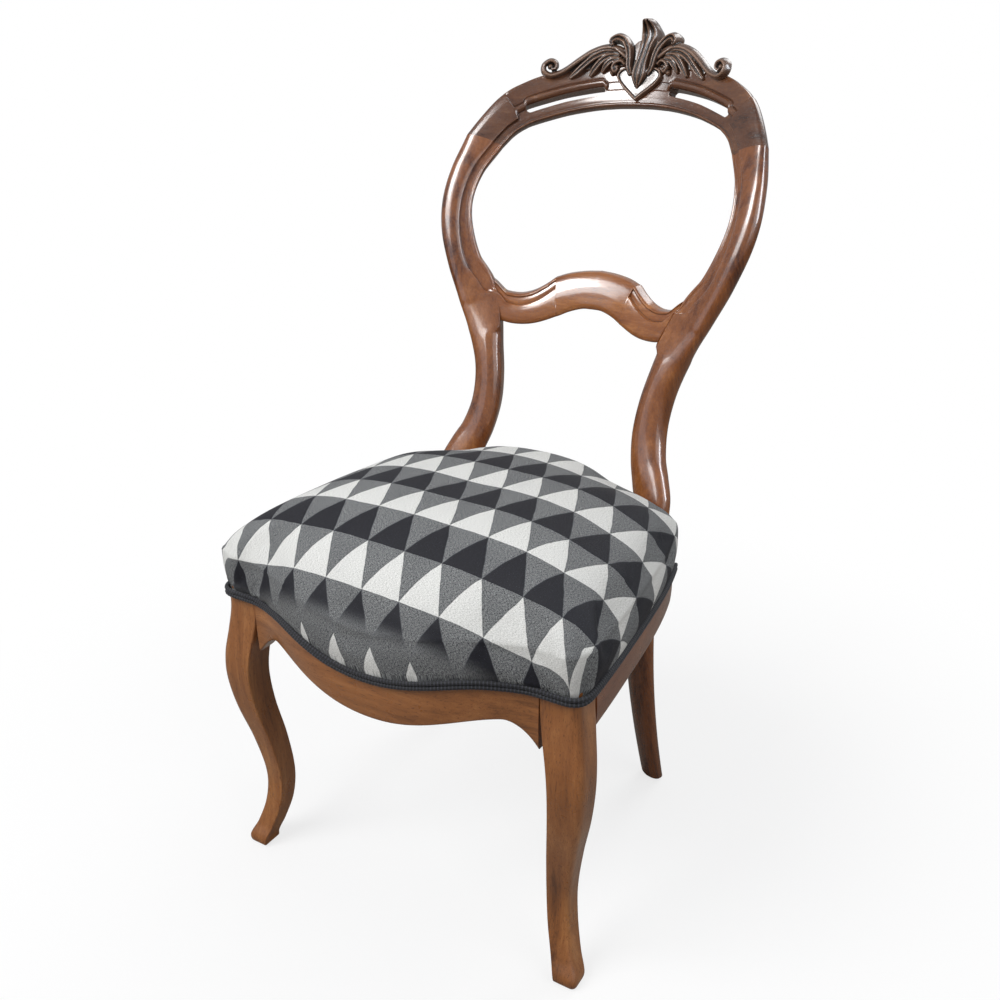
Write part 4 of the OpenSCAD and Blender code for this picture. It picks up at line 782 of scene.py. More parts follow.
SLOT_FOOT = BAND_W * 1.05
CREST_BENDS = np.array([.35, .45, .5, .5, .5, .5, .5, .5, .03, .03, .35, .5, .5, .5, .3, .3, .4, .35, .4, .5,
                        .5, .04, .04, .4])


def crest_sections(w, t, m, bead, slot):
    """Corners of the crest's section, from the plain end (m = 1), where it is the posts' moulding, to the
    pierced part (m = 0). `bead` raises the bead over the slot and `slot` is the slot's height at that place,
    as a share."""
    o = np.zeros_like(w)
    bw, bd = BAND_W + o, BAND_D + 0.8 + o
    foot = SLOT_FOOT + SLOT_H * (1 - slot) / 2
    head = SLOT_FOOT + SLOT_H * (1 + slot) / 2
    lift = bead * bd
    pierced = [
        (o, t * .8), (o, bd + t * .12), (bw * .05, bd * .9), (bw * .16, bd * .62), (bw * .27, bd * .82),
               (bw * .33, bd * 1.08),
        (bw * .6, bd * .9), (bw * .9, bd * 1.0), (foot, bd * 1.02), (head, bd * 1.1),
               (head + .6, bd - lift * .35),
        (head + 3, bd - lift * .95), (head + 6.4, bd - lift * .9), (head + 8.6, bd - lift * .35),
        (head + 9.3, bd * .8 + lift * .35), (head + 10.6, bd * .8), (w * .95, bd * .8), (w, bd * 1.15),
               (w, t * .52),
        (w * .93, t * .84), (w * .75, t * .97), (head, t), (foot, t), (w * .06, t * .96)]
    moulding = [
        (o, t * .8), (o, bd + t * .12), (bw * .05, bd * .9), (bw * .16, bd * .62), (bw * .27, bd * .82),
                (bw * .33, bd * 1.08),
        (bw * .6, bd * .9), (bw * .9, bd * 1.02), (bw * .97, bd * 1.15), (bw, t * .05), (bw + .6, t * .02),
        (blend(bw, w, .25), -t * .015), (blend(bw, w, .4), o), (blend(bw, w, .55), t * .02),
                (blend(bw, w, .7), t * .06),
        (blend(bw, w, .84), t * .13), (blend(bw, w, .95), t * .22), (w, t * .32), (w, t * .58),
                (w * .92, t * .82),
        (w * .72, t * .97), (w * .5, t), (w * .3, t), (w * .06, t * .96)]
    a = np.stack([np.stack(q, -1) for q in pierced], -2)
    b = np.stack([np.stack(q, -1) for q in moulding], -2)
    return a + (b - a) * m[:, None, None]


STEPS = 5
p = np.concatenate([np.linspace(0, 2.9, 44), np.linspace(3, 3.35, 14), np.linspace(3.45, 10.7, 130),
                    np.linspace(10.75, 11, 14), np.linspace(11.1, 12.7, 20), np.linspace(12.75, 14.3, 34),
                    np.linspace(14.4, 18, 50)])
is_slot = (p >= 3) & (p <= 11)
edge_a = np.stack([end_in[0] * curve(crest_table, p, 1), blend(end_in[1], OPENING, curve(crest_table, p, 2))],
                  -1)
edge_b = np.stack([end_out[0] * curve(crest_table, p, 3),
                   blend(end_out[1], OPENING + CREST_W, curve(crest_table, p, 4))], -1)
w = np.linalg.norm(edge_b - edge_a, axis=1)
n = (edge_b - edge_a) / w[:, None]
middle_x = edge_a[:, 0] + n[:, 0] * (SLOT_FOOT + SLOT_H / 2)
slot_from, slot_to = middle_x[is_slot].min(), middle_x[is_slot].max()
into = np.minimum(middle_x - slot_from, slot_to - middle_x)
slot_share = np.where(is_slot, np.sqrt(np.clip(1 - np.clip(1 - into / 4.0, 0, 1) ** 2, 0.12, 1)), 0.12)
t = blend(CREST_T, POST_T * 0.93, ease(12, 18, p))
section = soften(crest_sections(w, t, np.clip((p - 12.75) / 1.2, 0, 1), ease(2.3, 2.95, p), slot_share),
                 CREST_BENDS, STEPS)
x = edge_a[:, None, 0] + n[:, None, 0] * section[..., 0]
z = edge_a[:, None, 1] + n[:, None, 1] * section[..., 0]
half = behind(x, z, section[..., 1])
rings = np.concatenate([half[:0:-1] * [-1, 1, 1], half])
slotted = np.concatenate([is_slot[:0:-1], is_slot])
m, n_ring = rings.shape[:2]
front_low, front_high = 8 * STEPS + STEPS - 1, 9 * STEPS              # the columns on the slot's edges
back_high, back_low = 21 * STEPS + STEPS - 1, 22 * STEPS
grid = joined(m, n_ring).reshape(m - 1, n_ring, 4)
open_step = slotted[:-1] & slotted[1:]
keep = np.ones((m - 1, n_ring), bool)
keep[open_step, front_low] = keep[open_step, back_high] = False
points, faces = [rings.reshape(-1, 3)], [grid[keep]]
WALL = 9
depth_share = np.concatenate([[0.035], np.linspace(0.09, 0.91, WALL - 2), [0.965]])
count = m * n_ring
wall_ids = {}
for label, front, back, way in (("low", front_low, back_low, -1), ("high", front_high, back_high, 1)):
    between = (rings[:, front, None] +
               (rings[:, back, None] - rings[:, front, None]) * depth_share[None, :, None])
    ids = count + np.arange(m * WALL).reshape(m, WALL)
    full = np.concatenate([np.arange(m)[:, None] * n_ring + front, ids,
                           np.arange(m)[:, None] * n_ring + back], 1)
    quads = np.stack([full[:-1, :-1], full[:-1, 1:], full[1:, 1:], full[1:, :-1]], -1)[open_step].reshape(-1,
                                                                                                          4)
    faces.append(quads if label == "low" else quads[:, ::-1])
    points.append(between.reshape(-1, 3))
    wall_ids[label] = full
    count += m * WALL
for j in range(1, m - 1):
    if slotted[j] and not (slotted[j - 1] and slotted[j + 1]):
        a, b = wall_ids["low"][j], wall_ids["high"][j]
        patch = np.stack([a[:-1], a[1:], b[1:], b[:-1]], -1)
        faces.append(patch[:, ::-1] if slotted[j + 1] else patch)
points.append(np.stack([rings[0].mean(0), rings[-1].mean(0)]))
first, last = np.arange(n_ring), np.arange(n_ring) + (m - 1) * n_ring
faces.append(np.concatenate([fan(first, count), fan(last, count + 1)[:, ::-1]]))
points = np.concatenate(points)
used = np.zeros(len(points), bool)
for f in faces:
    used[f.ravel()] = True
renumber = np.cumsum(used) - 1
crest = make_mesh("crest_face", points[used], [renumber[f] for f in faces], crest_wood, sharp=38)
mark_bends(crest)
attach(crest, "root")
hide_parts("crest_rail")
print("crest points:", len(crest.data.vertices))

# %% [markdown]
# ## Carving
# The ornament is a classic one: a fluted leaf whose tip curls over, a shield under it, curled fronds beside
# it, drooping leaves with a groove down their middle, and a long stem on each side that ends in a volute.
# Each of these is a lobe: its middle line, half width and relief come from a template, and its section is
# fluted or round. All the lobes are then fused by a voxel remesh and lightly smoothed, since a carver works
# them from one block, and the hollows between them are cut deep.

# %% Lobes
STEM = [[20, 45, 2, 5, 0, 0], [28, 48, 3, 7, 0, 0], [40, 49, 3.4, 8, 0, 0], [53, 45, 3.4, 8, 0, 0],
        [64, 38, 3.2, 8, 0, 0],
        [75, 29.5, 3, 8, 0, 0], [83, 25, 3, 8, 0, 0], [91, 23.5, 2.8, 8, 0, 0], [97, 27, 2.7, 9, 0, 0],
        [98, 33, 2.6, 9, 0, 0], [93, 37, 2.5, 9, 0, 0], [87.5, 35, 2.4, 8, 0, 0], [86.5, 30.5, 2.2, 7, 0, 0],
        [90.5, 28.5, 1.6, 6, 0, 0]]
LEAF_A = [[27, 44, 2, 5, 0, 0], [39, 44.5, 3.6, 7, 0, 0], [50, 40.5, 4.2, 8, 0, 0], [59, 33, 3.8, 7.5, 0, 0],
          [66, 26, 3.6, 6, 0, 0], [71.5, 20.5, 1.6, 3, 0, 0]]
LEAF_B = [[25, 41, 2, 5, 0, 0], [34.5, 41, 3.4, 7, 0, 0], [42.5, 36.5, 4, 8, 0, 0],
          [48.5, 29, 3.9, 6.5, 0, 0],
          [52, 22, 1.7, 3, 0, 0]]
LEAF_C = [[23, 38, 2, 5, 0, 0], [31.5, 37, 3.2, 7, 0, 0], [37.5, 32, 3.5, 6.5, 0, 0],
          [40.5, 25.5, 1.5, 3, 0, 0]]
CURL = [[17.5, 33, 1.8, 6, 0, 0], [22, 36.5, 2.2, 8, 0, 0], [27.5, 35, 2.2, 8.5, 0, 0],
        [30, 30.5, 2, 8, 0, 0],
        [27, 26.5, 1.9, 7, 0, 0], [24, 29.5, 1.4, 6, 0, 0]]
FROND = [[9, 24, 2.4, 6, 0, 0], [12.5, 31, 3.2, 8, 0, 0], [14, 40, 3.6, 9, 0, 0], [16.5, 48, 4, 10, 1, 7],
         [22, 55.5, 4.2, 10, 2, 8], [29.5, 58.5, 4, 11, 1, 7], [35, 55.5, 3.4, 12, 0, 5],
         [33.5, 51, 1.8, 11, 0, 3]]
SPRIG = [[16, 38, 1.6, 5, 0, 0], [22, 43, 2.6, 7, 0, 0], [30.5, 48, 2, 7, 0, 0], [35, 49, 0.8, 4, 0, 0]]
TONGUE = [[0, 11.5, 0.6, 4, 0, 0], [0.2, 16.5, 5, 8, 0, 0], [0.5, 24, 9, 11, 0, 0], [0.8, 33, 8, 11, 0, 0],
          [1.2, 41.6, 7.4, 10, 1, 3], [1.5, 52, 8, 10, 4, 8], [1.6, 61, 10.5, 10, 6, 8],
          [0.6, 68, 8.5, 13, 4, 8],
          [0.2, 73.2, 5.5, 18, 1, 6], [0.2, 75, 2.5, 17, 0, 0]]
SHIELD = [[0, 0, 0.6, 1.5, 0, 0], [0, 4, 6.5, 2.6, 0, 0], [0, 9, 13, 3, 0, 0], [0, 15, 19.5, 3, 0, 0],
          [0, 21, 23.5, 3, 0, 0], [0, 26, 22, 3, 0, 0], [0, 30.5, 12, 3, 0, 0]]
SHIELD_Z = OPENING + BAND_W * 0.4
UNIT = (TOP - SHIELD_Z) / 75
RELIEF = 22 / 18
GROUND = BAND_D * 0.8 - 0.15


def fluted(u):
    """Three ridges with grooves between them, under a round envelope that falls to nothing at the edges."""
    return (np.clip(1 - np.abs(u) ** 5, 0, None) ** 0.8 *
            (0.84 - 0.17 * np.cos(2 * np.pi * (u * 1.5 + 0.5)) * (1 - 0.3 * u ** 2)))


def grooved(u):
    """Two broad ridges and one deep groove in the middle."""
    return np.clip(1 - u ** 6, 0, None) ** 0.7 * (0.62 + 0.40 * np.sin(np.pi * np.abs(u)) ** 1.2)


def round_back(u):
    return np.clip(1 - u ** 2, 0, None) ** 0.55


def lobe(table, section, side=1, embed=0.5, across=25, per_row=9, lift=0.0, narrow=1.0):
    """Rings of one lobe: rows of its section along its middle line, each running back along its back. The
    faces and the closed ends come from add_ring_skin."""
    rows = np.column_stack([np.arange(len(table)), np.array(table, float)])
    p = np.linspace(0, len(table) - 1, (len(table) - 1) * per_row + 1)
    x, z, w, r, back_set, reach = (curve(rows, p, k) for k in range(1, 7))
    h = 0.08
    tx = curve(rows, np.minimum(p + h, len(table) - 1), 1) - curve(rows, np.maximum(p - h, 0), 1)
    tz = curve(rows, np.minimum(p + h, len(table) - 1), 2) - curve(rows, np.maximum(p - h, 0), 2)
    n = np.stack([tz, -tx], -1) / np.hypot(tx, tz)[:, None]
    w = np.maximum(w, 0.25) * narrow
    u = np.linspace(-1, 1, across)
    front = section(u)[None] * (r * RELIEF + lift)[:, None]
    px = (x[:, None] + n[:, :1] * w[:, None] * u) * UNIT
    pz = SHIELD_Z + (z[:, None] + n[:, 1:] * w[:, None] * u) * UNIT
    top = GROUND + back_set[:, None] * UNIT - front
    low = GROUND + (back_set + np.maximum(reach, 0) + embed)[:, None] * UNIT + 0 * front
    ring = np.concatenate([behind(px * side, pz, top), behind(px * side, pz, low)[:, ::-1]], 1)
    return ring


def add_ring_skin(store, ring):
    m, k, _ = ring.shape
    base = sum(len(q) for q in store[0])
    pts = np.concatenate([ring.reshape(-1, 3), ring[:1].mean(1), ring[-1:].mean(1)])
    faces = [joined(m, k), fan(np.arange(k), m * k), fan(np.arange(k) + (m - 1) * k, m * k + 1)[:, ::-1]]
    if volume(pts, faces) < 0:
        faces = [f[:, ::-1] for f in faces]
    store[0].append(pts)
    store[1].extend(f + base for f in faces)


carved = ([], [])
add_ring_skin(carved, lobe(TONGUE, fluted, 1, 0.62, across=41, per_row=10))
add_ring_skin(carved, lobe(SHIELD, lambda u: np.clip(1 - np.abs(u) ** 9, 0, None) ** 0.5, 1, 0.6, across=41))
# a raised rim round the shield
for side in (1, -1):
    rim = [[0, 1.2, 1.3, 4.3, 0, 0], [6, 6, 1.4, 4.6, 0, 0], [12.6, 11, 1.4, 4.6, 0, 0],
           [19.5, 17, 1.5, 4.8, 0, 0],
           [22.8, 22.5, 1.5, 5, 0, 0], [20.5, 27.5, 1.5, 5, 0, 0], [14, 30, 1.3, 4.6, 0, 0]]
    add_ring_skin(carved, lobe(rim, round_back, side, 0.6, across=15))
for side in (1, -1):
    add_ring_skin(carved, lobe(STEM, round_back, side, 0.5, across=19, per_row=12))
    add_ring_skin(carved, lobe(LEAF_A, grooved, side, 0.56, across=33))
    add_ring_skin(carved, lobe(LEAF_B, grooved, side, 0.44, across=33))
    add_ring_skin(carved, lobe(LEAF_C, grooved, side, 0.38, across=29))
    add_ring_skin(carved, lobe(CURL, round_back, side, 0.59, across=15, per_row=10))
    add_ring_skin(carved, lobe(FROND, grooved, side, 0.34, across=31, per_row=10))
    add_ring_skin(carved, lobe(SPRIG, round_back, side, 0.68, across=15))
print("lobes:", len(carved[0]), "points:", sum(len(q) for q in carved[0]))

# %% [markdown]
# ### The ground behind the carving
# The carving stands up above the crest's top edge on a thin ground, whose outline follows the leaves. Small
# round buds fill the eyes of the volutes.

# %% Ground, buds and the fused carving
PLATE = np.array([[0, 58], [10, 56], [17, 49], [28, 46], [40, 47], [53, 43], [64, 36], [72, 30]])
plate_u = np.linspace(-1, 1, 141)
px = np.abs(plate_u) * 72
pz = np.interp(px, PLATE[:, 0], PLATE[:, 1])
top_edge = np.column_stack([CREST_ROWS[:, 2] * end_out[0],
                            blend(end_out[1], OPENING + CREST_W, CREST_ROWS[:, 3])])
crest_line = np.interp(px * UNIT, top_edge[:, 0], top_edge[:, 1])
high = np.maximum(SHIELD_Z + pz * UNIT, crest_line + 1.2)
lean = UNIT * 3 * (1 - ease(22, 34, px))
x = np.sign(plate_u) * px * UNIT
ground_ring = np.stack([
    behind(x, high, CREST_T * .68 + lean), behind(x, crest_line + .2, CREST_T * .68 + 0 * x),
                        behind(x, crest_line + .2, GROUND + 0 * x),
    behind(x, crest_line - 6 * UNIT, GROUND + 0 * x), behind(x, crest_line - 6 * UNIT, GROUND - UNIT + 0 * x),
    behind(x, high, GROUND - UNIT + lean)], 1)
add_ring_skin(carved, ground_ring)
for bx, bz, radius, rise in ((92, 31.5, 2.6, 7), (26.3, 30.8, 2.3, 6), (30, 26, 2.6, 4.5)):
    for side in (1, -1):
        a, e = np.meshgrid(np.linspace(0, 2 * np.pi, 20, endpoint=False), np.linspace(0, np.pi / 2 * .97, 9))
        bud = behind(side * (bx + radius * np.cos(a) * np.cos(e)) * UNIT,
                     SHIELD_Z + (bz + radius * np.sin(a) * np.cos(e)) * UNIT,
                     GROUND + 0.5 - (rise * RELIEF + 0.5) * (0.25 + 0.75 * np.sin(e)))
        foot = behind(side * (bx + radius * np.cos(a[:1])) * UNIT,
                      SHIELD_Z + (bz + radius * np.sin(a[:1])) * UNIT,
                      np.full((1, 20), GROUND + 0.5))
        add_ring_skin(carved, np.concatenate([foot, bud]))
rough_block = make_mesh("carving", np.concatenate(carved[0]), carved[1], carved_wood)
fuse = rough_block.modifiers.new("fuse", "REMESH")
fuse.mode, fuse.voxel_size, fuse.adaptivity = "VOXEL", 0.00078, 0.0
fused = bpy.data.meshes.new_from_object(rough_block.evaluated_get(bpy.context.evaluated_depsgraph_get()))
rough_block.modifiers.clear()
rough_block.data = fused
co = np.zeros(len(fused.vertices) * 3)
fused.vertices.foreach_get("co", co)
co = co.reshape(-1, 3)
edge = np.zeros(len(fused.edges) * 2, int)
fused.edges.foreach_get("vertices", edge)
a, b = edge.reshape(-1, 2).T
count = np.bincount(a, minlength=len(co)) + np.bincount(b, minlength=len(co))
for amount in (0.5, -0.35, 0.5):
    mean = np.stack([np.bincount(a, co[b, k], len(co)) + np.bincount(b, co[a, k], len(co)) for k in range(3)],
                    -1) / count[:, None]
    co = co + (mean - co) * amount
fused.vertices.foreach_set("co", co.ravel())
fused.update()
fused.polygons.foreach_set("use_smooth", np.ones(len(fused.polygons), bool))
if not fused.materials:
    fused.materials.append(carved_wood)
mark_bends(rough_block, reach=0.0022, passes=2)
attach(rough_block, "root")
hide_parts("crest_carving")
print("carving points:", len(co), "faces:", len(fused.polygons))

# %% [markdown]
# ## Jacquard cover
# The cover is a woven cloth of toothed rows: pale and near-black triangles stand on their bases in turn, half
# a width apart from row to row, and between them hang heathered grey ones. Its pattern is worked out from the
# cloth's own measure, the `UVMap` in metres, so it bends over the seat as cloth does. In the row number k and
# the share t up the row, a point lies in a triangle when its distance from the middle line is less than half
# the width left at t.

# %% Finish: jacquard
ROW, TOOTH, FIRST_ROW, FIRST_TOOTH = 0.0519, 0.0454, -0.3153, -0.0097


def jacquard(name):
    material, tree = new_finish(name)
    uv = node(tree, "ShaderNodeUVMap", {"uv_map": "UVMap"})
    split = tree.nodes.new("ShaderNodeSeparateXYZ")
    tree.links.new(uv.socket, split.inputs[0])
    wobble = noise(tree, stretched(tree, uv, (60, 60, 1)), 1.0, 3.0, 0.6)
    ragged = noise(tree, stretched(tree, uv, (900, 1500, 1)), 1.0, 1.0, 0.5)
    u = Wire(tree, split.outputs[0]) + (wobble - 0.5) * 0.0022 + (ragged - 0.5) * 0.0011
    v = (Wire(tree, split.outputs[1]) +
         (noise(tree, stretched(tree, uv, (35, 35, 7)), 1.0, 2.0, 0.5) - 0.5) * 0.0024)
    row = (v - FIRST_ROW) / ROW
    k, t = row.floor(), row.fraction()
    odd = (k * 0.5).fraction() * 2
    s = abs(((u - FIRST_TOOTH) / TOOTH - odd * 0.5).fraction() - 0.5)
    width = (1 - t) * (1 + t * 0.24) * 0.5
    inside = (width - s) * (TOOTH * 1000)
    tooth = inside.step(-0.22, 0.22)
    line = (abs(inside)).step(0.25, 0.95, 1.0, 0.0)
    weft = noise(tree, stretched(tree, uv, (520, 2100, 1)), 1.0, 2.0, 0.62)
    warp = noise(tree, stretched(tree, uv, (2300, 420, 1)), 1.0, 2.0, 0.6)
    soil = noise(tree, place_of(tree), 16.0, 3.0, 0.6)
    fleck = noise(tree, stretched(tree, uv, (1500, 1500, 1)), 1.0, 1.0, 0.5)
    pale = (weft.step(0.30, 0.62)).colours(srgb(176, 176, 172), srgb(236, 236, 233))
    pale = (soil.step(0.5, 0.75) * 0.35).colours(pale, srgb(196, 197, 196))
    dark = (weft.step(0.42, 0.72)).colours(srgb(9, 9, 17), srgb(27, 27, 40))
    dark = (fleck.step(0.70, 0.74) * 0.45).colours(dark, srgb(120, 122, 134))
    heather = (weft * 0.62 + warp * 0.38).step(0.40, 0.60).colours(srgb(46, 47, 51), srgb(150, 152, 152))
    heather = (soil.step(0.35, 0.7) * 0.2).colours(heather, srgb(70, 71, 75))
    # in the two dark rows under the front edge the dark turns to heathered grey towards the base of each
    # triangle: a painted sheen on the front of the cover
    fade = (k.step(-1.6, -1.4, 1.0, 0.0) * (k.step(-2.6, -2.4)) +
            k.step(-0.6, -0.4, 1.0, 0.0) * k.step(-1.6, -1.4))
    dark = (fade * (t + (weft - 0.5) * 0.6).step(0.15, 0.6, 1.0, 0.0)).colours(dark, heather)
    light_row = odd.colours(pale, dark)
    colour = tooth.colours(heather, light_row)
    edge = odd.colours(srgb(34, 35, 40), srgb(104, 106, 110))
    colour = (line * (1 - tooth * 0.6) * 0.62).colours(colour, edge)
    threads = (u * 7800).sine() * 0.5 + 0.5
    picks = (v * 9000).sine() * 0.5 + 0.5
    plump = inside.step(-0.6, 3.2)
    height = plump * 0.8 + threads * (0.16 - tooth * 0.05) + picks * 0.18 + weft * 0.35
    bump = node(tree, "ShaderNodeBump", {}, {"Strength": 0.55, "Distance": 0.0006, "Height": height})
    surface(tree, Base_Color=colour, Roughness=(0.9 - tooth * 0.12 - odd * tooth * 0.08), Normal=bump,
            Sheen_Weight=0.04,
            Sheen_Roughness=0.45, Specular_IOR_Level=0.28)
    return material


cover_cloth = jacquard("cover_cloth")
print("cloth row", ROW * 1000, "mm, tooth", TOOTH * 1000, "mm")

# %% [markdown]
# ## Cushion
# Springs and stuffing give the seat its crown, and the cover is pulled over it and tacked in the rebate. The
# skin is a grid of rings: each has the seat's outline, and going up they first swell out past the rails, then
# draw in to the middle of the crown. The crown is boxy at the rear between the posts, and pulled down where
# the cloth is cut round them. The cloth's measure grows from the middle outwards: each step of the grid
# counts as it does in plan, and the length it has beyond that, because it falls, is added square to the
# nearest edge of the seat.

# %% Seat skin
CORNER_R, LIP = LEG_W / 4, 1.8
FULL_Z = COVER_DROP + SPRING_RISE
CROWN = np.array([[0, 0], [0.03, 0.15], [0.07, 0.31], [0.13, 0.48], [0.22, 0.65], [0.35, 0.81], [0.52, 0.93],
                  [0.72, 0.985],
                  [1, 1.0]])
SEAT_MIDDLE = np.array([0, SEAT_DEEP * 0.49])


def tucked(off):
    return np.minimum(off, LIP) + np.maximum(0, off - LIP) * 0.15


def half_outline(off):
    """Half of the seat's outline, set out by `off`: the bow, the round corner, the side, the tuck at the
    post, the rear. All offsets give the same number of points, in step with each other."""
    m = np.linspace(0, 0.93, 34)
    x = (HALF_SEAT - CORNER_R) * m
    front = np.stack([x, front_line(x) - off], -1)
    a = np.radians(np.linspace(-90, 0, 9))
    corner = np.stack([HALF_SEAT - CORNER_R + (CORNER_R + off) * np.cos(a),
                       CORNER_R + (CORNER_R + off) * np.sin(a)], -1)
    y = SIDE_END * np.linspace(0.06, 0.87, 34)
    flank = np.stack([side_line(y) + off, y], -1)
    tuck = np.array([[HALF_SEAT * .81 + tucked(off), SEAT_DEEP * .955],
                     [HALF_SEAT * .72 + tucked(off), SEAT_DEEP + tucked(off) * .7]])
    x = HALF_SEAT * 0.7 * np.linspace(0.77, 0, 14)
    rear = np.stack([x, np.full_like(x, SEAT_DEEP + off)], -1)
    return np.concatenate([front, corner, flank, tuck, rear])


base_line = half_outline(0.0)
run = run_of(base_line)
HALF_COUNT = 200
marks = np.linspace(0, run[-1], HALF_COUNT + 1)


def outline(off):
    """The whole outline with evenly spaced points, from the middle of the front round by the right."""
    half = half_outline(off)
    rows = np.column_stack([run, half])
    x, y = np.interp(marks, rows[:, 0], rows[:, 1]), np.interp(marks, rows[:, 0], rows[:, 2])
    right = np.stack([x, y], -1)
    return np.concatenate([right, right[-2:0:-1] * [-1, 1]])


def smooth_ring(values, passes):
    for _ in range(passes):
        values = 0.5 * values + 0.25 * (np.roll(values, 1, 0) + np.roll(values, -1, 0))
    return values


def rise_power(q):
    """The power of the crown's rise: 1 at the front and sides, small where it is boxy, large round the
    posts."""
    boxy = np.clip(1 - (np.abs(q[:, 0]) / HALF_BACK / 0.6) ** 4, 0, None)
    raw = np.where(q[:, 1] < SEAT_DEEP * 0.9, 1.0, 1.5 + (0.3 - 1.5) * boxy)
    return smooth_ring(raw, 60)


swell_rows = np.array([[0, 1.2], [8, 1.5], [11, 3.4], [16, 6.6], [31.4, 9.5], [FULL_Z, 10.8]])
side_heights = np.concatenate([np.linspace(0, 12, 7), np.linspace(14, FULL_Z, 17)])
crown_places = np.concatenate([np.linspace(0, 0.1, 14)[1:], np.linspace(0.1, 0.97, 60)[1:]])


def seat_skin(shrink=0.0):
    """Rings of the seat from its trim to near the middle of the crown. `shrink` draws the skin in, all
    over."""
    rings = []
    for h in side_heights:
        off = curve(swell_rows, h) - shrink * ease(8, 20, h)
        q = smooth_ring(outline(off), 6)
        d = np.where(q[:, 1] < 21, COVER_LINE - cover_line(q[:, 0]), 0)
        dip = curve([[0, 1], [10.5, 1], [13, .96], [31.4, .84], [FULL_Z, .7]], h)
        rings.append(np.column_stack([q, COVER_LINE + h - d * dip]))
    q = smooth_ring(outline(10.8 - shrink), 6)
    power = rise_power(outline(0.0))
    d = np.where(q[:, 1] < 21, COVER_LINE - cover_line(q[:, 0]), 0)
    for c in crown_places:
        rounder = smooth_ring(q, int(6 + 360 * ease(0.02, 0.75, c)))
        place = SEAT_MIDDLE + (rounder - SEAT_MIDDLE) * (1 - c)
        share = np.clip(curve(CROWN, c), 1e-4, None) ** (1 + (power - 1) * (1 - ease(0.2, 0.75, c)))
        z = (COVER_LINE + FULL_Z + (CROWN_RISE + COVER_DROP - FULL_Z) * share - d * max(0, 0.7 - c * 1.6) -
             shrink * min(1, c * 12))
        rings.append(np.column_stack([place, z]))
    return np.array(rings)


skin = seat_skin(2.6)
# the pleats: narrow folds down both front corners, and shallow pulls along the front where the cloth is
# tacked
about = np.arange(skin.shape[1])
corner_at = int(np.argmin(np.abs(outline(0.0)[:HALF_COUNT, 0] - (HALF_SEAT - 3)) +
                          np.abs(outline(0.0)[:HALF_COUNT, 1] - 3)))
level = np.concatenate([side_heights, FULL_Z + crown_places * 330])[:, None]
outward = np.zeros_like(skin[0])
ring0 = outline(0.0)
tangent = np.roll(ring0, -1, 0) - np.roll(ring0, 1, 0)
outward[:, :2] = np.stack([tangent[:, 1], -tangent[:, 0]], -1) / np.linalg.norm(tangent, axis=1)[:, None]
outward = smooth_ring(outward, 10)
push = np.zeros(skin.shape[:2])
for place, depth in ((corner_at, 4.2), (len(about) - corner_at, 3.6)):
    off = (about - place)[None].astype(float)
    fade = ease(0, 10, level) * (1 - ease(60, 105, level))
    push -= depth * np.exp(-((off - 1.5) / 1.5) ** 2) * fade
    push += 1.7 * np.exp(-((off + 3.0) / 3.0) ** 2) * fade + 1.2 * np.exp(-((off - 6.0) / 2.6) ** 2) * fade
pulls = rng.uniform(-0.5, 0.5, 64)
wave = np.interp(about / len(about) * 64, np.arange(65), np.append(pulls, pulls[0]))
push += wave[None] * 1.3 * ease(4, 14, level) * (1 - ease(40, 80, level))
skin = skin + push[..., None] * outward[None]

# the cloth's measure, grown from the middle outwards
middle = np.array([SEAT_MIDDLE[0], SEAT_MIDDLE[1], skin[-1, :, 2].mean() + 0.4])
reference = seat_skin(0.0)
outer_first = np.concatenate([np.broadcast_to(middle, (1, *reference.shape[1:])), reference[::-1]])
step = np.diff(outer_first, axis=0)
length = np.linalg.norm(step, axis=2)
spare = length - np.linalg.norm(step[..., :2], axis=2)
rear_at = int(np.argmin(np.hypot(ring0[:HALF_COUNT, 0] - 150, ring0[:HALF_COUNT, 1] - SEAT_DEEP)))
sector = np.zeros((len(about), 2))
sector[:, 1] = -1
sector[corner_at:rear_at] = [1, 0]
sector[rear_at:len(about) - rear_at] = [0, 1]
sector[len(about) - rear_at:len(about) - corner_at] = [-1, 0]
crown_share = np.concatenate([crown_places[::-1], 0 * side_heights])
way = np.array([smooth_ring(sector, int(4 + 40 * ease(0, 0.5, k))) for k in crown_share])
cloth = np.cumsum(step[..., :2] + spare[..., None] * way, axis=0)[::-1] + [0, SEAT_MIDDLE[1] - MIDDLE]
# it was laid a little askew, and drags to the rear where it is pulled down at the sides
cloth = cloth @ [[1, 0.036], [0.0045, 1]]
cloth[..., 1] -= 20 * ease(165, 255, np.abs(cloth[..., 0])) * ease(-320, -210, cloth[..., 1])

m, n_ring = skin.shape[:2]
points = np.concatenate([skin.reshape(-1, 3), [middle]])
uv = np.concatenate([cloth.reshape(-1, 2), [[0, SEAT_MIDDLE[1] - MIDDLE]]]) * MM
faces = [joined(m, n_ring), fan(np.arange(n_ring) + (m - 1) * n_ring, m * n_ring)]
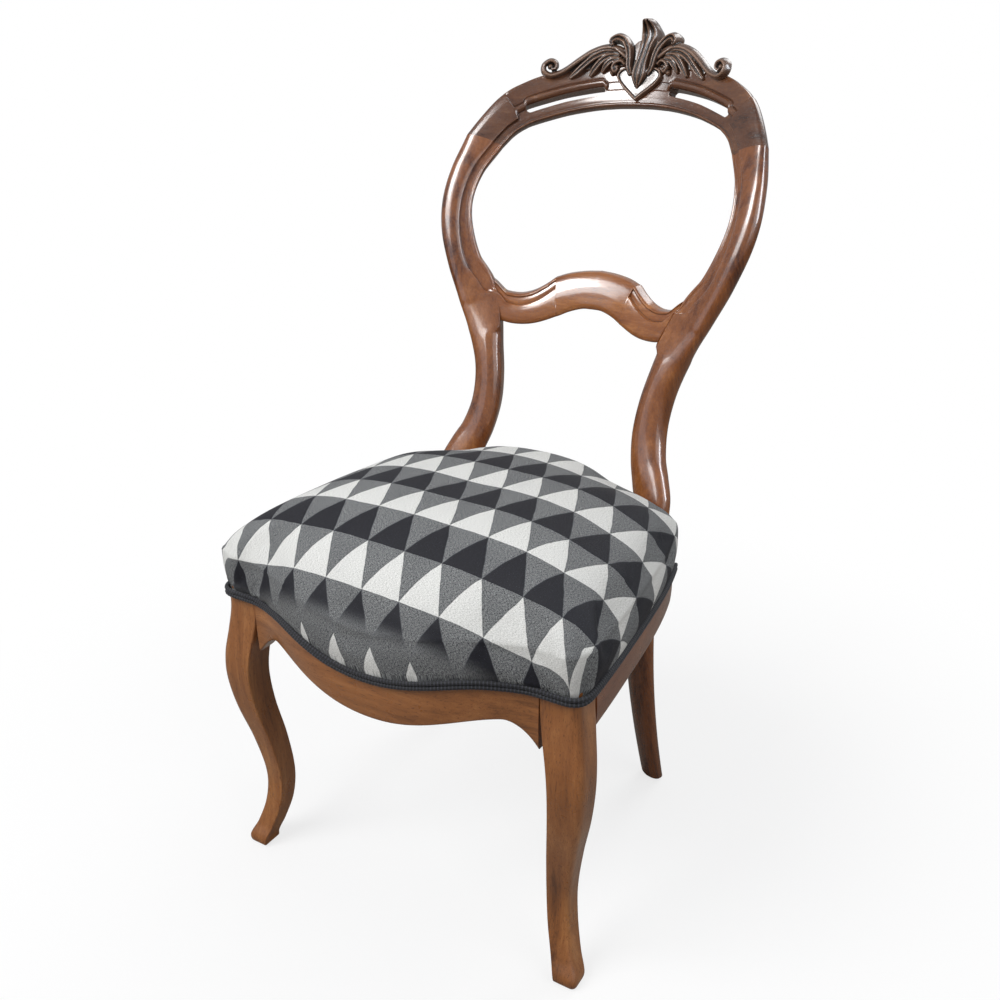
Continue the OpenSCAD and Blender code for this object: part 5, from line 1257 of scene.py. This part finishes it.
# the underside: the lip turned in on the rebate, and a flat bottom under the stuffing
lip = np.array([np.column_stack([smooth_ring(outline(-1.5), 6), skin[0, :, 2]]),
                np.column_stack([smooth_ring(outline(-1.6), 6), np.maximum(skin[0, :, 2], RAIL_TOP + .5)]),
                np.column_stack([smooth_ring(outline(-12.0), 6), np.full(n_ring, RAIL_TOP + 1.0)]),
                np.column_stack([SEAT_MIDDLE + (smooth_ring(outline(-12.0), 6) - SEAT_MIDDLE) * .6,
                                 np.full(n_ring, RAIL_TOP + 44)])])
base = len(points)
points = np.concatenate([points, lip.reshape(-1, 3), [[0, SEAT_MIDDLE[1], RAIL_TOP + 46]]])
uv = np.concatenate([uv, np.tile(uv[:n_ring], (4, 1)), [[0, 0]]])
faces += [joined(4, n_ring, offset=base)[:, ::-1],
          np.stack([np.arange(n_ring), (np.arange(n_ring) + 1) % n_ring,
                    base + (np.arange(n_ring) + 1) % n_ring,
                    base + np.arange(n_ring)], -1)[:, ::-1],
          fan(base + 3 * n_ring + np.arange(n_ring), base + 4 * n_ring)[:, ::-1]]
cushion = make_mesh("cushion", points, faces, cover_cloth, uv=uv, sharp=180)
print("cushion points:", len(cushion.data.vertices))

# %% [markdown]
# ## Letting the cloth take its load
# The skin was drawn a little too small on purpose. Blender's cloth now blows it up from inside, as springs
# and hair press on a tacked cover, while the tacked edge stays where it is. A cap keeps each point near the
# form.

# %% Cloth simulation
CAP = 0.0035
before = np.array([v.co[:] for v in cushion.data.vertices])
held = cushion.vertex_groups.new(name="tacked")
fixed = np.concatenate([np.arange(3 * n_ring), np.arange(m * n_ring + 1, len(before))])
held.add([int(i) for i in fixed], 1.0, "REPLACE")
soft = cushion.modifiers.new("cloth", "CLOTH")
soft.settings.quality = 6
soft.settings.mass = 0.4
soft.settings.tension_stiffness = soft.settings.compression_stiffness = 18
soft.settings.shear_stiffness = 8
soft.settings.bending_stiffness = 0.6
soft.settings.use_pressure = True
soft.settings.uniform_pressure_force = 6.5
soft.settings.vertex_group_mass = "tacked"
soft.settings.effector_weights.gravity = 0
soft.collision_settings.use_collision = False
for number in range(1, 15):
    bpy.context.scene.frame_set(number)
shaped = cushion.evaluated_get(bpy.context.evaluated_depsgraph_get())
after = np.array([v.co[:] for v in shaped.data.vertices])
cushion.modifiers.clear()
bpy.context.scene.frame_set(1)
move = after - before
size = np.linalg.norm(move, axis=1, keepdims=True)
move *= np.minimum(1, CAP / np.maximum(size, 1e-9))
cushion.data.vertices.foreach_set("co", (before + move).ravel())
cushion.data.update()
print("cloth moved its points by", round(float(size.mean()) * 1000, 2), "mm on average and at most",
      round(float(size.max()) * 1000, 2), "mm, capped at", CAP * 1000, "mm")

# %% [markdown]
# ## Cutting the cloth round the posts
# The cover is slit and turned in where a post comes through. We cut the cushion with a form a little larger
# than the post, open to the rear, as the upholsterer's slit is. The hessian below is cut in the same way.

# %% Post slits
def slit_at_posts(piece, gap):
    """Takes the space of each post, grown by `gap` and drawn out to the rear, from the piece."""
    z = np.linspace(RAIL_TOP - 30, RAIL_TOP + 104, 40)
    edge_in, edge_out = post_edges(z)
    edge_in[:, 0] -= gap
    edge_out[:, 0] += gap
    cut = member(edge_in, edge_out, POST_T * curve(POST_DEPTH, z / JOINT), np.zeros(len(z)))
    zero = np.zeros(cut.shape[:2])
    cut = cut + behind(cut[..., 0], cut[..., 2], zero - gap) - behind(cut[..., 0], cut[..., 2], zero)
    cut[..., 1] += np.where(cut[..., 1] > cut[..., 1].mean(1, keepdims=True), 45, 0)
    for side in (1, -1):
        slit = tube_skin("slit", cut * [side, 1, 1], None)
        chisel = piece.modifiers.new("slit", "BOOLEAN")
        chisel.operation, chisel.object, chisel.solver = "DIFFERENCE", slit, "EXACT"
        shaped = bpy.data.meshes.new_from_object(piece.evaluated_get(bpy.context.evaluated_depsgraph_get()))
        piece.modifiers.clear()
        piece.data = shaped
        bpy.data.objects.remove(slit)
    piece.data.polygons.foreach_set("use_smooth", np.ones(len(piece.data.polygons), bool))
    piece.data.set_sharp_from_angle(angle=np.radians(60))


slit_at_posts(cushion, 0.7)
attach(cushion, "root")
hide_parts("seat_cover", "stuffing")
print("cushion points after the slits:", len(cushion.data.vertices))

# %% [markdown]
# ## Double piping
# Two ribbed cords, woven as one narrow trim, hide the tacks along the rebate. Each is a tube whose radius
# rises and falls once per rib. The trim starts behind the left side, runs round the front and ends behind the
# right side, and a short length of it closes the rear between the posts.

# %% Finish: black trim
def trim_cloth(name):
    material, tree = new_finish(name)
    uv = node(tree, "ShaderNodeUVMap", {"uv_map": "UVMap"})
    split = tree.nodes.new("ShaderNodeSeparateXYZ")
    tree.links.new(uv.socket, split.inputs[0])
    along = Wire(tree, split.outputs[0])
    rib = (along * (2 * np.pi / RIB)).cosine() * 0.5 + 0.5
    fuzz = noise(tree, place_of(tree), 1900.0, 2.0, 0.6)
    wear = noise(tree, place_of(tree), 35.0, 3.0, 0.6)
    # the crests of the ribs are painted lighter grey: a painted highlight along each rib
    colour = (rib.step(0.55, 1.0) * (fuzz.step(0.35, 0.65) * 0.6 + 0.25)).colours(srgb(13, 13, 17),
                                                                                  srgb(66, 67, 78))
    colour = (wear.step(0.55, 0.8) * 0.3).colours(colour, srgb(84, 84, 88))
    bump = node(tree, "ShaderNodeBump", {}, {"Strength": 0.6, "Distance": 0.0003, "Height": fuzz})
    surface(tree, Base_Color=colour, Roughness=(0.62 + fuzz * 0.25), Normal=bump, Sheen_Weight=0.15,
            Specular_IOR_Level=0.35)
    return material


RIB = 0.0037
trim = trim_cloth("black_trim")


def ribbed_cord(path, radius, across, up):
    """Rings of a cord along `path`: at the angle a its point lies (radius + rib) * (cos a across + sin a up)
    away."""
    run = run_of(path)
    a = np.linspace(0, 2 * np.pi, 13)[:-1]
    rib = radius - 0.17 + 0.17 * np.cos(2 * np.pi * run / (RIB * 1000))
    rib[[0, -1]] *= 0.6
    circle = across[:, None] * np.cos(a)[None, :, None] + up[:, None] * np.sin(a)[None, :, None]
    return (path[:, None] + circle *
            rib[:, None, None], np.stack(np.broadcast_arrays(run[:, None], a[None]), -1))


def resampled(path, spacing):
    run = run_of(path)
    at = np.linspace(0, run[-1], int(run[-1] / spacing) + 1)
    return np.stack([np.interp(at, run, path[:, k]) for k in range(3)], -1)


def double_cord(name, line):
    """The two cords of the trim, one over the other against the cover, along a line at the foot of the
    trim."""
    line = resampled(line, RIB * 250)
    t = np.gradient(line, axis=0)
    t /= np.linalg.norm(t, axis=1)[:, None]
    out = np.stack([t[:, 1], -t[:, 0], 0 * t[:, 0]], -1)
    out /= np.linalg.norm(out, axis=1)[:, None]
    up = np.cross(out, t)
    up *= np.sign(up[:, 2:3])
    points, faces, uv, base = [], [], [], 0
    for height in (2.5, 7.5):
        ring, place = ribbed_cord(line + out * 2.5 + up * height, 2.5, out, up)
        m, n, _ = ring.shape
        points.append(np.concatenate([ring.reshape(-1, 3), ring[:1].mean(1), ring[-1:].mean(1)]))
        uv.append(np.concatenate([place.reshape(-1, 2), [[0, 0], [0, 0]]]) * [MM, 0.01])
        skin_faces = [joined(m, n), fan(np.arange(n), m * n),
                      fan(np.arange(n) + (m - 1) * n, m * n + 1)[:, ::-1]]
        if volume(points[-1], skin_faces) < 0:
            skin_faces = [f[:, ::-1] for f in skin_faces]
        faces += [f + base for f in skin_faces]
        base += len(points[-1])
    return np.concatenate(points), faces, np.concatenate(uv), base


edge_line = smooth_ring(outline(LIP + 0.15), 3)
height = np.where(edge_line[:, 1] < 2 * CORNER_R, cover_line(edge_line[:, 0]), COVER_LINE) + 0.15
ring_line = np.column_stack([edge_line, height])
last = int(np.argmax(edge_line[:HALF_COUNT, 1] > SIDE_END * 0.87))
front_path = np.concatenate([ring_line[-last:], ring_line[:last + 1]])
rear_x = float(post_side(SEAT_DEEP, COVER_LINE, -1)) - 5
rear_path = np.array([[rear_x, SEAT_DEEP + LIP + .15, COVER_LINE + .15],
                      [-rear_x, SEAT_DEEP + LIP + .15, COVER_LINE + .15]])
points_a, faces_a, uv_a, base = double_cord("front", front_path)
points_b, faces_b, uv_b, _ = double_cord("rear", rear_path)
piping = make_mesh("double_piping_cords", np.concatenate([points_a, points_b]),
                   faces_a + [f + base for f in faces_b], trim,
                   uv=np.concatenate([uv_a, uv_b]), sharp=75)
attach(piping, "root")
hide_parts("double_piping")
print("piping quads:", len(piping.data.polygons))

# %% [markdown]
# ## Plain weaves
# The hidden cloths are plain weaves: a warp and a weft of one thread each, over and under. The pattern is the
# product of two waves, one along x and one along y, with threads that vary in thickness. Hessian is coarse
# and brown, the dust cloth fine and black, and the webbing is close, with dark stripes near its edges.

# %% Finishes: hessian, webbing, dust cloth, twine
def plain_weave(name, pitch, low, high, hole, rough=0.9, stripes=None):
    material, tree = new_finish(name)
    where = place_of(tree)
    uneven = noise(tree, stretched(tree, where, (30, 900, 30)), 1.0, 2.0, 0.5)
    split = tree.nodes.new("ShaderNodeSeparateXYZ")
    tree.links.new(where.socket, split.inputs[0])
    x, y = Wire(tree, split.outputs[0]) * (np.pi / pitch), Wire(tree, split.outputs[1]) * (np.pi / pitch)
    warp, weft = abs(x.sine()), abs(y.sine())
    over = (x.cosine() * y.cosine()).step(-0.3, 0.3)
    thread = over * warp + (1 - over) * weft
    tone = noise(tree, stretched(tree, where, (900, 60, 60)), 1.0, 2.0, 0.6) * 0.5 + uneven * 0.5
    colour = tone.step(0.35, 0.65).colours(low, high)
    colour = thread.step(0.0, 0.55, 1.0, 0.0).colours(colour, hole)
    if stripes is not None:
        colour = stripes(tree, split).colours(colour, srgb(44, 34, 28))
    bump = node(tree, "ShaderNodeBump", {}, {"Strength": 0.8, "Distance": pitch * 0.3, "Height": thread})
    surface(tree, Base_Color=colour, Roughness=(tone * 0.15 + (rough - 0.1)), Normal=bump, Sheen_Weight=0.1,
            Specular_IOR_Level=0.2)
    return material


def edge_stripes(places, axis, width):
    """A mask of two dark stripes in each strap, at `width` either side of its middle line."""
    def mask(tree, split):
        at = Wire(tree, split.outputs[axis])
        total = 0
        for place in places:
            total = (abs(abs(at - place) - width)).step(0.0018, 0.0026, 1.0, 0.0) + total
        return total
    return mask


SPRING_Y = [SEAT_DEEP * k for k in (0.28, 0.49, 0.7)]
SPRING_X = HALF_SEAT * 0.39
hessian_cloth = plain_weave("hessian_cloth", 0.0017, srgb(132, 104, 66), srgb(184, 154, 108),
                            srgb(58, 44, 28))
dust_weave = plain_weave("dust_weave", 0.0008, srgb(26, 26, 29), srgb(44, 44, 48), srgb(10, 10, 12), 0.95)
web_across = plain_weave("web_across", 0.0011, srgb(146, 124, 88), srgb(196, 172, 130), srgb(78, 62, 40), 0.9,
                         edge_stripes([(y - MIDDLE) * MM for y in SPRING_Y], 1, 0.017))
web_along = plain_weave("web_along", 0.0011, srgb(140, 118, 82), srgb(190, 166, 124), srgb(74, 58, 38), 0.9,
                        edge_stripes([-SPRING_X * MM, 0.0, SPRING_X * MM], 0, 0.017))
flax, tree = new_finish("flax_twine")
fibre = noise(tree, place_of(tree), 700.0, 3.0, 0.6)
bump = node(tree, "ShaderNodeBump", {}, {"Strength": 0.6, "Distance": 0.0003, "Height": fibre})
surface(tree, Base_Color=fibre.step(0.35, 0.65).colours(srgb(150, 124, 84), srgb(206, 184, 140)),
        Roughness=(0.95 - fibre * 0.2),
        Normal=bump, Specular_IOR_Level=0.25)
print("plain weaves ready")

# %% [markdown]
# ## Webbing, hessian, twine and dust cloth
# Under the cushion is the part that carries: straps of webbing tacked to the rails, springs on them, twine
# that ties the springs down, and hessian over all. Each strap is a thin slab over a grid with its edges drawn
# in a little by the tacks. The hessian is stretched over the springs, so it lies on each as a low bump.

# %% Straps
def slab(top, bottom, base=0):
    """Points and faces of a thin cloth between two grids of the same shape, closed round its edge."""
    r, c, _ = top.shape
    points = np.concatenate([top.reshape(-1, 3), bottom.reshape(-1, 3)])
    grid = np.arange(r * c).reshape(r, c)
    rim = np.concatenate([grid[0, :-1], grid[:-1, -1], grid[-1, :0:-1], grid[:0:-1, 0]])
    after = np.roll(rim, -1)
    flat = joined(r, c, False)
    faces = [flat[:, ::-1], flat + r * c, np.stack([rim, after, after + r * c, rim + r * c], -1)]
    if volume(points, faces) < 0:
        faces = [f[:, ::-1] for f in faces]
    return points, [f + base for f in faces]


def several(slabs):
    """Puts slabs, each a pair of grids, into one list of points and one of faces."""
    points, faces, base = [], [], 0
    for top, bottom in slabs:
        p, f = slab(top, bottom, base)
        points.append(p)
        faces += f
        base += len(p)
    return np.concatenate(points), faces


WEB_T = 1.4


def strap(start, end, top_z, axis):
    """A strap 50 mm wide and 1.4 mm thick from `start` to `end` along an axis, a little narrower in its
    middle."""
    s, u = np.meshgrid(np.linspace(0, 1, 90), np.linspace(-1, 1, 15), indexing="ij")
    half = 25 - 0.7 * np.sin(np.pi * s) ** 0.5
    along = blend(start[axis], end[axis], s)
    side = blend(start[1 - axis], end[1 - axis], s) + half * u
    z = top_z - 0.12 * u ** 6
    flat = (along, side) if axis == 0 else (side, along)
    top = np.stack([*flat, z], -1)
    return top, np.stack([*flat, top_z - WEB_T + 0.12 * u ** 6], -1)


WEB_HIGH, WEB_LOW = RAIL_LOW - 0.15, RAIL_LOW - 0.15 - WEB_T - 0.3
across_straps, strap_run = [], 0
for y in SPRING_Y:
    x = float(side_line(y)) - RAIL_T * 0.35
    across_straps.append(strap((-x, y), (x, y), WEB_HIGH, 0))
    strap_run += 2 * x * MM
webbing_a = make_mesh("webbing_across_straps", *several(across_straps), web_across)
along_straps, along_run = [], 0
for x in (-SPRING_X, 0, SPRING_X):
    y = float(front_line(np.array([abs(x) + 25]))[0]) + RAIL_T + 0.15
    along_straps.append(strap((x, y), (x, SEAT_DEEP - 24 * 0.3), WEB_LOW, 1))
    along_run += (SEAT_DEEP - 24 * 0.3 - y) * MM
webbing_b = make_mesh("webbing_lengthways_straps", *several(along_straps), web_along)
for piece, run_length, cad in ((webbing_a, strap_run, "webbing_across"),
                               (webbing_b, along_run, "webbing_lengthways")):
    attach(piece, "root")
    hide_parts(cad)
print("webbing in metres:", round(strap_run, 3), round(along_run, 3))

# %% Hessian
HESSIAN_RISE = RAIL_TOP + 101 * 0.34 + 6 + 1.6 - COVER_LINE
c = np.concatenate([np.linspace(0, 0.33, 26), np.linspace(0.33, 0.97, 34)[1:]])
rise = curve([[0, 18.3], [0.05, 21.6], [0.33, HESSIAN_RISE], [0.7, HESSIAN_RISE], [1, HESSIAN_RISE]], c)
foot = smooth_ring(outline(-8.0), 6)
plan = SEAT_MIDDLE + (foot[None] - SEAT_MIDDLE) * (1 - c[:, None, None])
spots = np.array([[SPRING_X, SPRING_Y[0]], [-SPRING_X, SPRING_Y[0]], [HALF_SEAT * .35, SPRING_Y[2]],
                  [-HALF_SEAT * .35, SPRING_Y[2]],
                  [0, SPRING_Y[1]]])
away = np.linalg.norm(plan[:, :, None] - spots, axis=3).min(2)
z = COVER_LINE + rise[:, None] - 0.8 * ease(34, 70, away) * ease(0.15, 0.4, c)[:, None]
under = np.concatenate([plan, z[..., None]], -1)
over = under + [0, 0, 1.6]
m = len(c)
points = np.concatenate([under.reshape(-1, 3), under[-1:].mean(1), over.reshape(-1, 3), over[-1:].mean(1)])
n_over = m * n_ring + 1
rim = np.arange(n_ring)
after = (rim + 1) % n_ring
faces = [joined(m, n_ring)[:, ::-1], fan(rim + (m - 1) * n_ring, m * n_ring)[:, ::-1],
         joined(m, n_ring, offset=n_over),
         fan(rim + (m - 1) * n_ring + n_over, m * n_ring + n_over),
         np.stack([rim, after, after + n_over, rim + n_over], -1)]
hessian = make_mesh("hessian_cover", points, faces, hessian_cloth, sharp=60)
slit_at_posts(hessian, 1.2)
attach(hessian, "root")
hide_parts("hessian")

# %% Twine
def twisted(path, radius=1.5, strands=3, pitch=8.0):
    """Rings of a laid cord: round the path at the angle a, the radius swells once per strand and turns with
    the run."""
    path = resampled(path, 1.3)
    t = np.gradient(path, axis=0)
    t /= np.linalg.norm(t, axis=1)[:, None]
    side = np.cross(t, [0, 0, 1.0])
    side /= np.linalg.norm(side, axis=1)[:, None]
    up = np.cross(side, t)
    a = np.linspace(0, 2 * np.pi, 13)[:-1]
    run = np.arange(len(path))[:, None] * 1.3
    r = radius - 0.22 + 0.22 * np.cos(strands * a[None] - 2 * np.pi * run / pitch)
    return path[:, None] + (side[:, None] * np.cos(a)[None, :, None] + up[:, None] *
                            np.sin(a)[None, :, None]) * r[..., None]


def tie(a, b, lift):
    """The way of one twine: up from a rail, over the springs, and down to the rail beyond."""
    a, b = np.array(a, float), np.array(b, float)
    v = (b - a) * 0.2
    z_low, z_high = RAIL_TOP + 1.65, RAIL_TOP + 101 * 0.34 + 1.65 + lift
    return np.array([[*a, z_low], [*(a + v), z_high], [*(b - v), z_high], [*b, z_low]])


lines = []
for y in SPRING_Y:
    x = float(side_line(y)) - RAIL_T * 0.7
    lines.append(tie((-x, y), (x, y), 0))
for k in (-1, 0, 1):
    x = k * SPRING_X * 1.08
    lines.append(tie((x, float(front_line(np.array([abs(x)]))[0]) + RAIL_T * .7),
                     (k * HALF_SEAT * .35 * .94, SEAT_DEEP - 24 * .6), 2.7))
twine_points, twine_faces, base = [], [], 0
for line in lines:
    ring = twisted(line)
    m_t, n_t, _ = ring.shape
    pts = np.concatenate([ring.reshape(-1, 3), ring[:1].mean(1), ring[-1:].mean(1)])
    skins = [joined(m_t, n_t), fan(np.arange(n_t), m_t * n_t),
             fan(np.arange(n_t) + (m_t - 1) * n_t, m_t * n_t + 1)[:, ::-1]]
    if volume(pts, skins) < 0:
        skins = [f[:, ::-1] for f in skins]
    twine_points.append(pts)
    twine_faces += [f + base for f in skins]
    base += len(pts)
twine = make_mesh("spring_twine_lines", np.concatenate(twine_points), twine_faces, flax, sharp=60)
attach(twine, "root")
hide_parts("spring_twine")
print("twine quads:", len(twine.data.polygons))

# %% [markdown]
# ### Dust cloth
# A black cloth closes the seat from below. It is tacked along its edge and hangs down a hair between the
# tacks.

# %% Dust cloth
x_mid = RAIL_END * 0.35


def inner(x):
    """Where the front rail's inner side lies at x."""
    return float(front_line(np.array([x]))[0]) + RAIL_T + 0.15


half = np.array([[0, inner(x_mid) + .15], [x_mid, inner(x_mid) + .15],
                 [RAIL_END * .6, inner(RAIL_END * .72) + .15],
                 [RAIL_END * .93, LEG_D * 1.1], [float(side_line(LEG_D)) - RAIL_T * .3, LEG_D * 1.1],
                 [float(side_line(SEAT_DEEP * .4)) - RAIL_T * .3, SEAT_DEEP * .4],
                 [float(side_line(SEAT_DEEP * .72)) - RAIL_T * .3, SEAT_DEEP * .72],
                 [HALF_BACK * .52, SEAT_DEEP * .86],
                 [HALF_BACK * .5, SEAT_DEEP - 24 * .3]])
closed = np.concatenate([half, half[:0:-1] * [-1, 1]])
ends = np.roll(closed, -1, 0)
edge = np.concatenate([blend(closed[:, None], ends[:, None], np.linspace(0, 1, 13)[:-1, None])]).reshape(-1,
                                                                                                         2)
core = np.array([0, SEAT_DEEP * 0.5])
c = np.linspace(0, 0.96, 30)
plan = core + (edge[None] - core) * (1 - c[:, None, None])
DUST_Z = WEB_LOW - WEB_T - 0.9 - 0.45
ripple = 0.25 * np.sin(np.arange(len(edge)) * 2 * np.pi / 24)
sag = (0.9 * ease(0, 0.8, c)[:, None] +
       ripple[None] * (1 - ease(0, 0.3, c))[:, None] * ease(0, 0.05, c)[:, None])
upper_grid = np.concatenate([plan, (DUST_Z - sag * 0.3)[..., None]], -1)
lower_grid = upper_grid - [0, 0, 0.8]
m, n_edge = len(c), len(edge)
points = np.concatenate([lower_grid.reshape(-1, 3), lower_grid[-1:].mean(1), upper_grid.reshape(-1, 3),
                         upper_grid[-1:].mean(1)])
n_over, rim = m * n_edge + 1, np.arange(n_edge)
after = (rim + 1) % n_edge
faces = [joined(m, n_edge)[:, ::-1], fan(rim + (m - 1) * n_edge, m * n_edge)[:, ::-1],
         joined(m, n_edge, offset=n_over),
         fan(rim + (m - 1) * n_edge + n_over, m * n_edge + n_over),
         np.stack([rim, after, after + n_over, rim + n_over], -1)]
dust = make_mesh("dust_cloth", points, faces, dust_weave, sharp=60)
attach(dust, "root")
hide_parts("dust_cover")

# %% [markdown]
# ## Finishes of the pieces that stay as the CAD made them
# Corner blocks, dowels, screws, tacks and springs have the right shape already, so they only get a finish. A
# node's object keeps its mesh, and the finish goes into its material slots.

# %% Metals, raw wood and the CAD nodes
def metal(name, low, high, rust, rough):
    material, tree = new_finish(name)
    where = place_of(tree)
    fine, patches = noise(tree, where, 420.0, 4.0, 0.6), noise(tree, where, 60.0, 4.0, 0.65)
    spots = (patches * 0.7 + fine * 0.3).step(0.52, 0.64)
    colour = (spots * 0.75).colours(fine.step(0.3, 0.7).colours(low, high), rust)
    bump = node(tree, "ShaderNodeBump", {}, {"Strength": 0.35, "Distance": 0.0003,
                                             "Height": fine + spots * 0.6})
    surface(tree, Base_Color=colour, Metallic=(1 - spots * 0.7),
            Roughness=(spots * 0.35 + fine * 0.15 + rough), Normal=bump)
    return material


block_beech = raw_wood("block_beech", srgb(134, 100, 66), srgb(178, 142, 100), (np.pi / 2, 0, 0), 4.4)
spring_steel = metal("spring_steel", srgb(104, 100, 92), srgb(150, 146, 136), srgb(110, 66, 38), 0.34)
screw_steel = metal("screw_steel", srgb(120, 118, 112), srgb(168, 166, 160), srgb(98, 64, 42), 0.3)
tack_iron = metal("tack_iron", srgb(44, 44, 48), srgb(78, 78, 84), srgb(84, 52, 34), 0.42)
finish_of = {"block": block_beech, "dowels": raw_beech, "screws": screw_steel, "springs": spring_steel,
             "tacks": tack_iron}
for name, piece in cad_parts.items():
    for part, finish in finish_of.items():
        if part in name.split("_") and not (part == "block" and "screws" in name):
            piece.data.materials.clear()
            piece.data.materials.append(finish)
            print(name, "->", finish.name)

# %% [markdown]
# ## Floor and light
# The chair stands on a plain white floor. The floor takes a soft shadow but looks white to the camera. To all
# other rays it is a dull dark floor, so the undersides stay dark. Three broad lamps and a pale world light
# the chair, and three more are seen only as shine: they give the long white and bluish highlights on the
# polish.

# %% Floor, lamps and world
floor_mesh = bpy.data.meshes.new("floor")
floor_mesh.from_pydata([(-6, -6, 0), (6, -6, 0), (6, 6, 0), (-6, 6, 0)], [], [(0, 1, 2, 3)])
floor = bpy.data.objects.new("floor", floor_mesh)
bpy.context.scene.collection.objects.link(floor)
floor_paint, tree = new_finish("floor_paint")
dull = {"Roughness": 0.9, "Specular IOR Level": 0.1}
pale = node(tree, "ShaderNodeBsdfPrincipled", {}, {"Base Color": (0.9, 0.9, 0.9), **dull})
white = node(tree, "ShaderNodeEmission", {}, [(1, 1, 1), 1.0])
rays = tree.nodes.new("ShaderNodeLightPath")
seen = Wire(tree, rays.outputs["Is Camera Ray"])
spot = place_of(tree)
far = node(tree, "ShaderNodeVectorMath", {"operation": "LENGTH"}, [spot], output=1).step(0.30, 0.95)
shown = node(tree, "ShaderNodeMixShader", {}, [0.74 + far * 0.26, pale, white])
dim = node(tree, "ShaderNodeBsdfPrincipled", {}, {"Base Color": (0.22, 0.20, 0.18), **dull})
mixed = node(tree, "ShaderNodeMixShader", {}, [seen, dim, shown])
node(tree, "ShaderNodeOutputMaterial", {}, [mixed])
floor_mesh.materials.append(floor_paint)


LAMP_AIM = 0.45


def lamp(name, azimuth, elevation, distance, size, power, tall=None, tint=(1, 1, 1), shine_only=False):
    """An area lamp that looks at the middle of the chair from a direction given in degrees. With shine_only
    it is seen in the polish but gives no other light."""
    data = bpy.data.lights.new(name, "AREA")
    data.shape, data.size, data.size_y, data.energy = "RECTANGLE", size, tall or size, power
    a, e = np.radians(azimuth), np.radians(elevation)
    back = np.array([np.sin(a) * np.cos(e), -np.cos(a) * np.cos(e), np.sin(e)])
    right = np.array([np.cos(a), np.sin(a), 0.0])
    up = np.cross(back, right)
    at = np.array([0, 0, LAMP_AIM]) + back * distance
    data.color = tint
    made = bpy.data.objects.new(name, data)
    made.visible_diffuse = not shine_only
    made.matrix_world = Matrix([[right[i], up[i], back[i], at[i]] for i in range(3)] + [[0, 0, 0, 1]])
    bpy.context.scene.collection.objects.link(made)


lamp("window", -28, 42, 2.6, 1.5, 46, tall=1.3)
lamp("fill", 75, 30, 2.8, 1.8, 16)
lamp("rim", 165, 45, 2.6, 1.2, 18)
lamp("pane", -28, 54, 2.5, 0.7, 40, tall=0.9, shine_only=True)
lamp("sky", -30, 14, 2.4, 1.5, 4.5, tall=1.2, tint=(0.74, 0.85, 1), shine_only=True)
lamp("strip", 96, 34, 2.4, 0.5, 40, tall=1.6, tint=(0.85, 0.92, 1), shine_only=True)
world = bpy.data.worlds.new("world")
bpy.context.scene.world = world
world.use_nodes = True
tree = world.node_tree
tree.nodes.clear()
rays = tree.nodes.new("ShaderNodeLightPath")
seen = Wire(tree, rays.outputs["Is Camera Ray"])
light = node(tree, "ShaderNodeBackground", {}, [(0.95, 0.97, 1.0), 0.42])
white = node(tree, "ShaderNodeBackground", {}, [(1, 1, 1), 1.0])
mixed = node(tree, "ShaderNodeMixShader", {}, [seen, light, white])
node(tree, "ShaderNodeOutputWorld", {}, [mixed])
bpy.context.scene.view_settings.view_transform = "Standard"
print("stage ready")

# %% [markdown]
# ## Finish
# Last we bring the view layer up to date.

# %% Finish
bpy.context.view_layer.update()
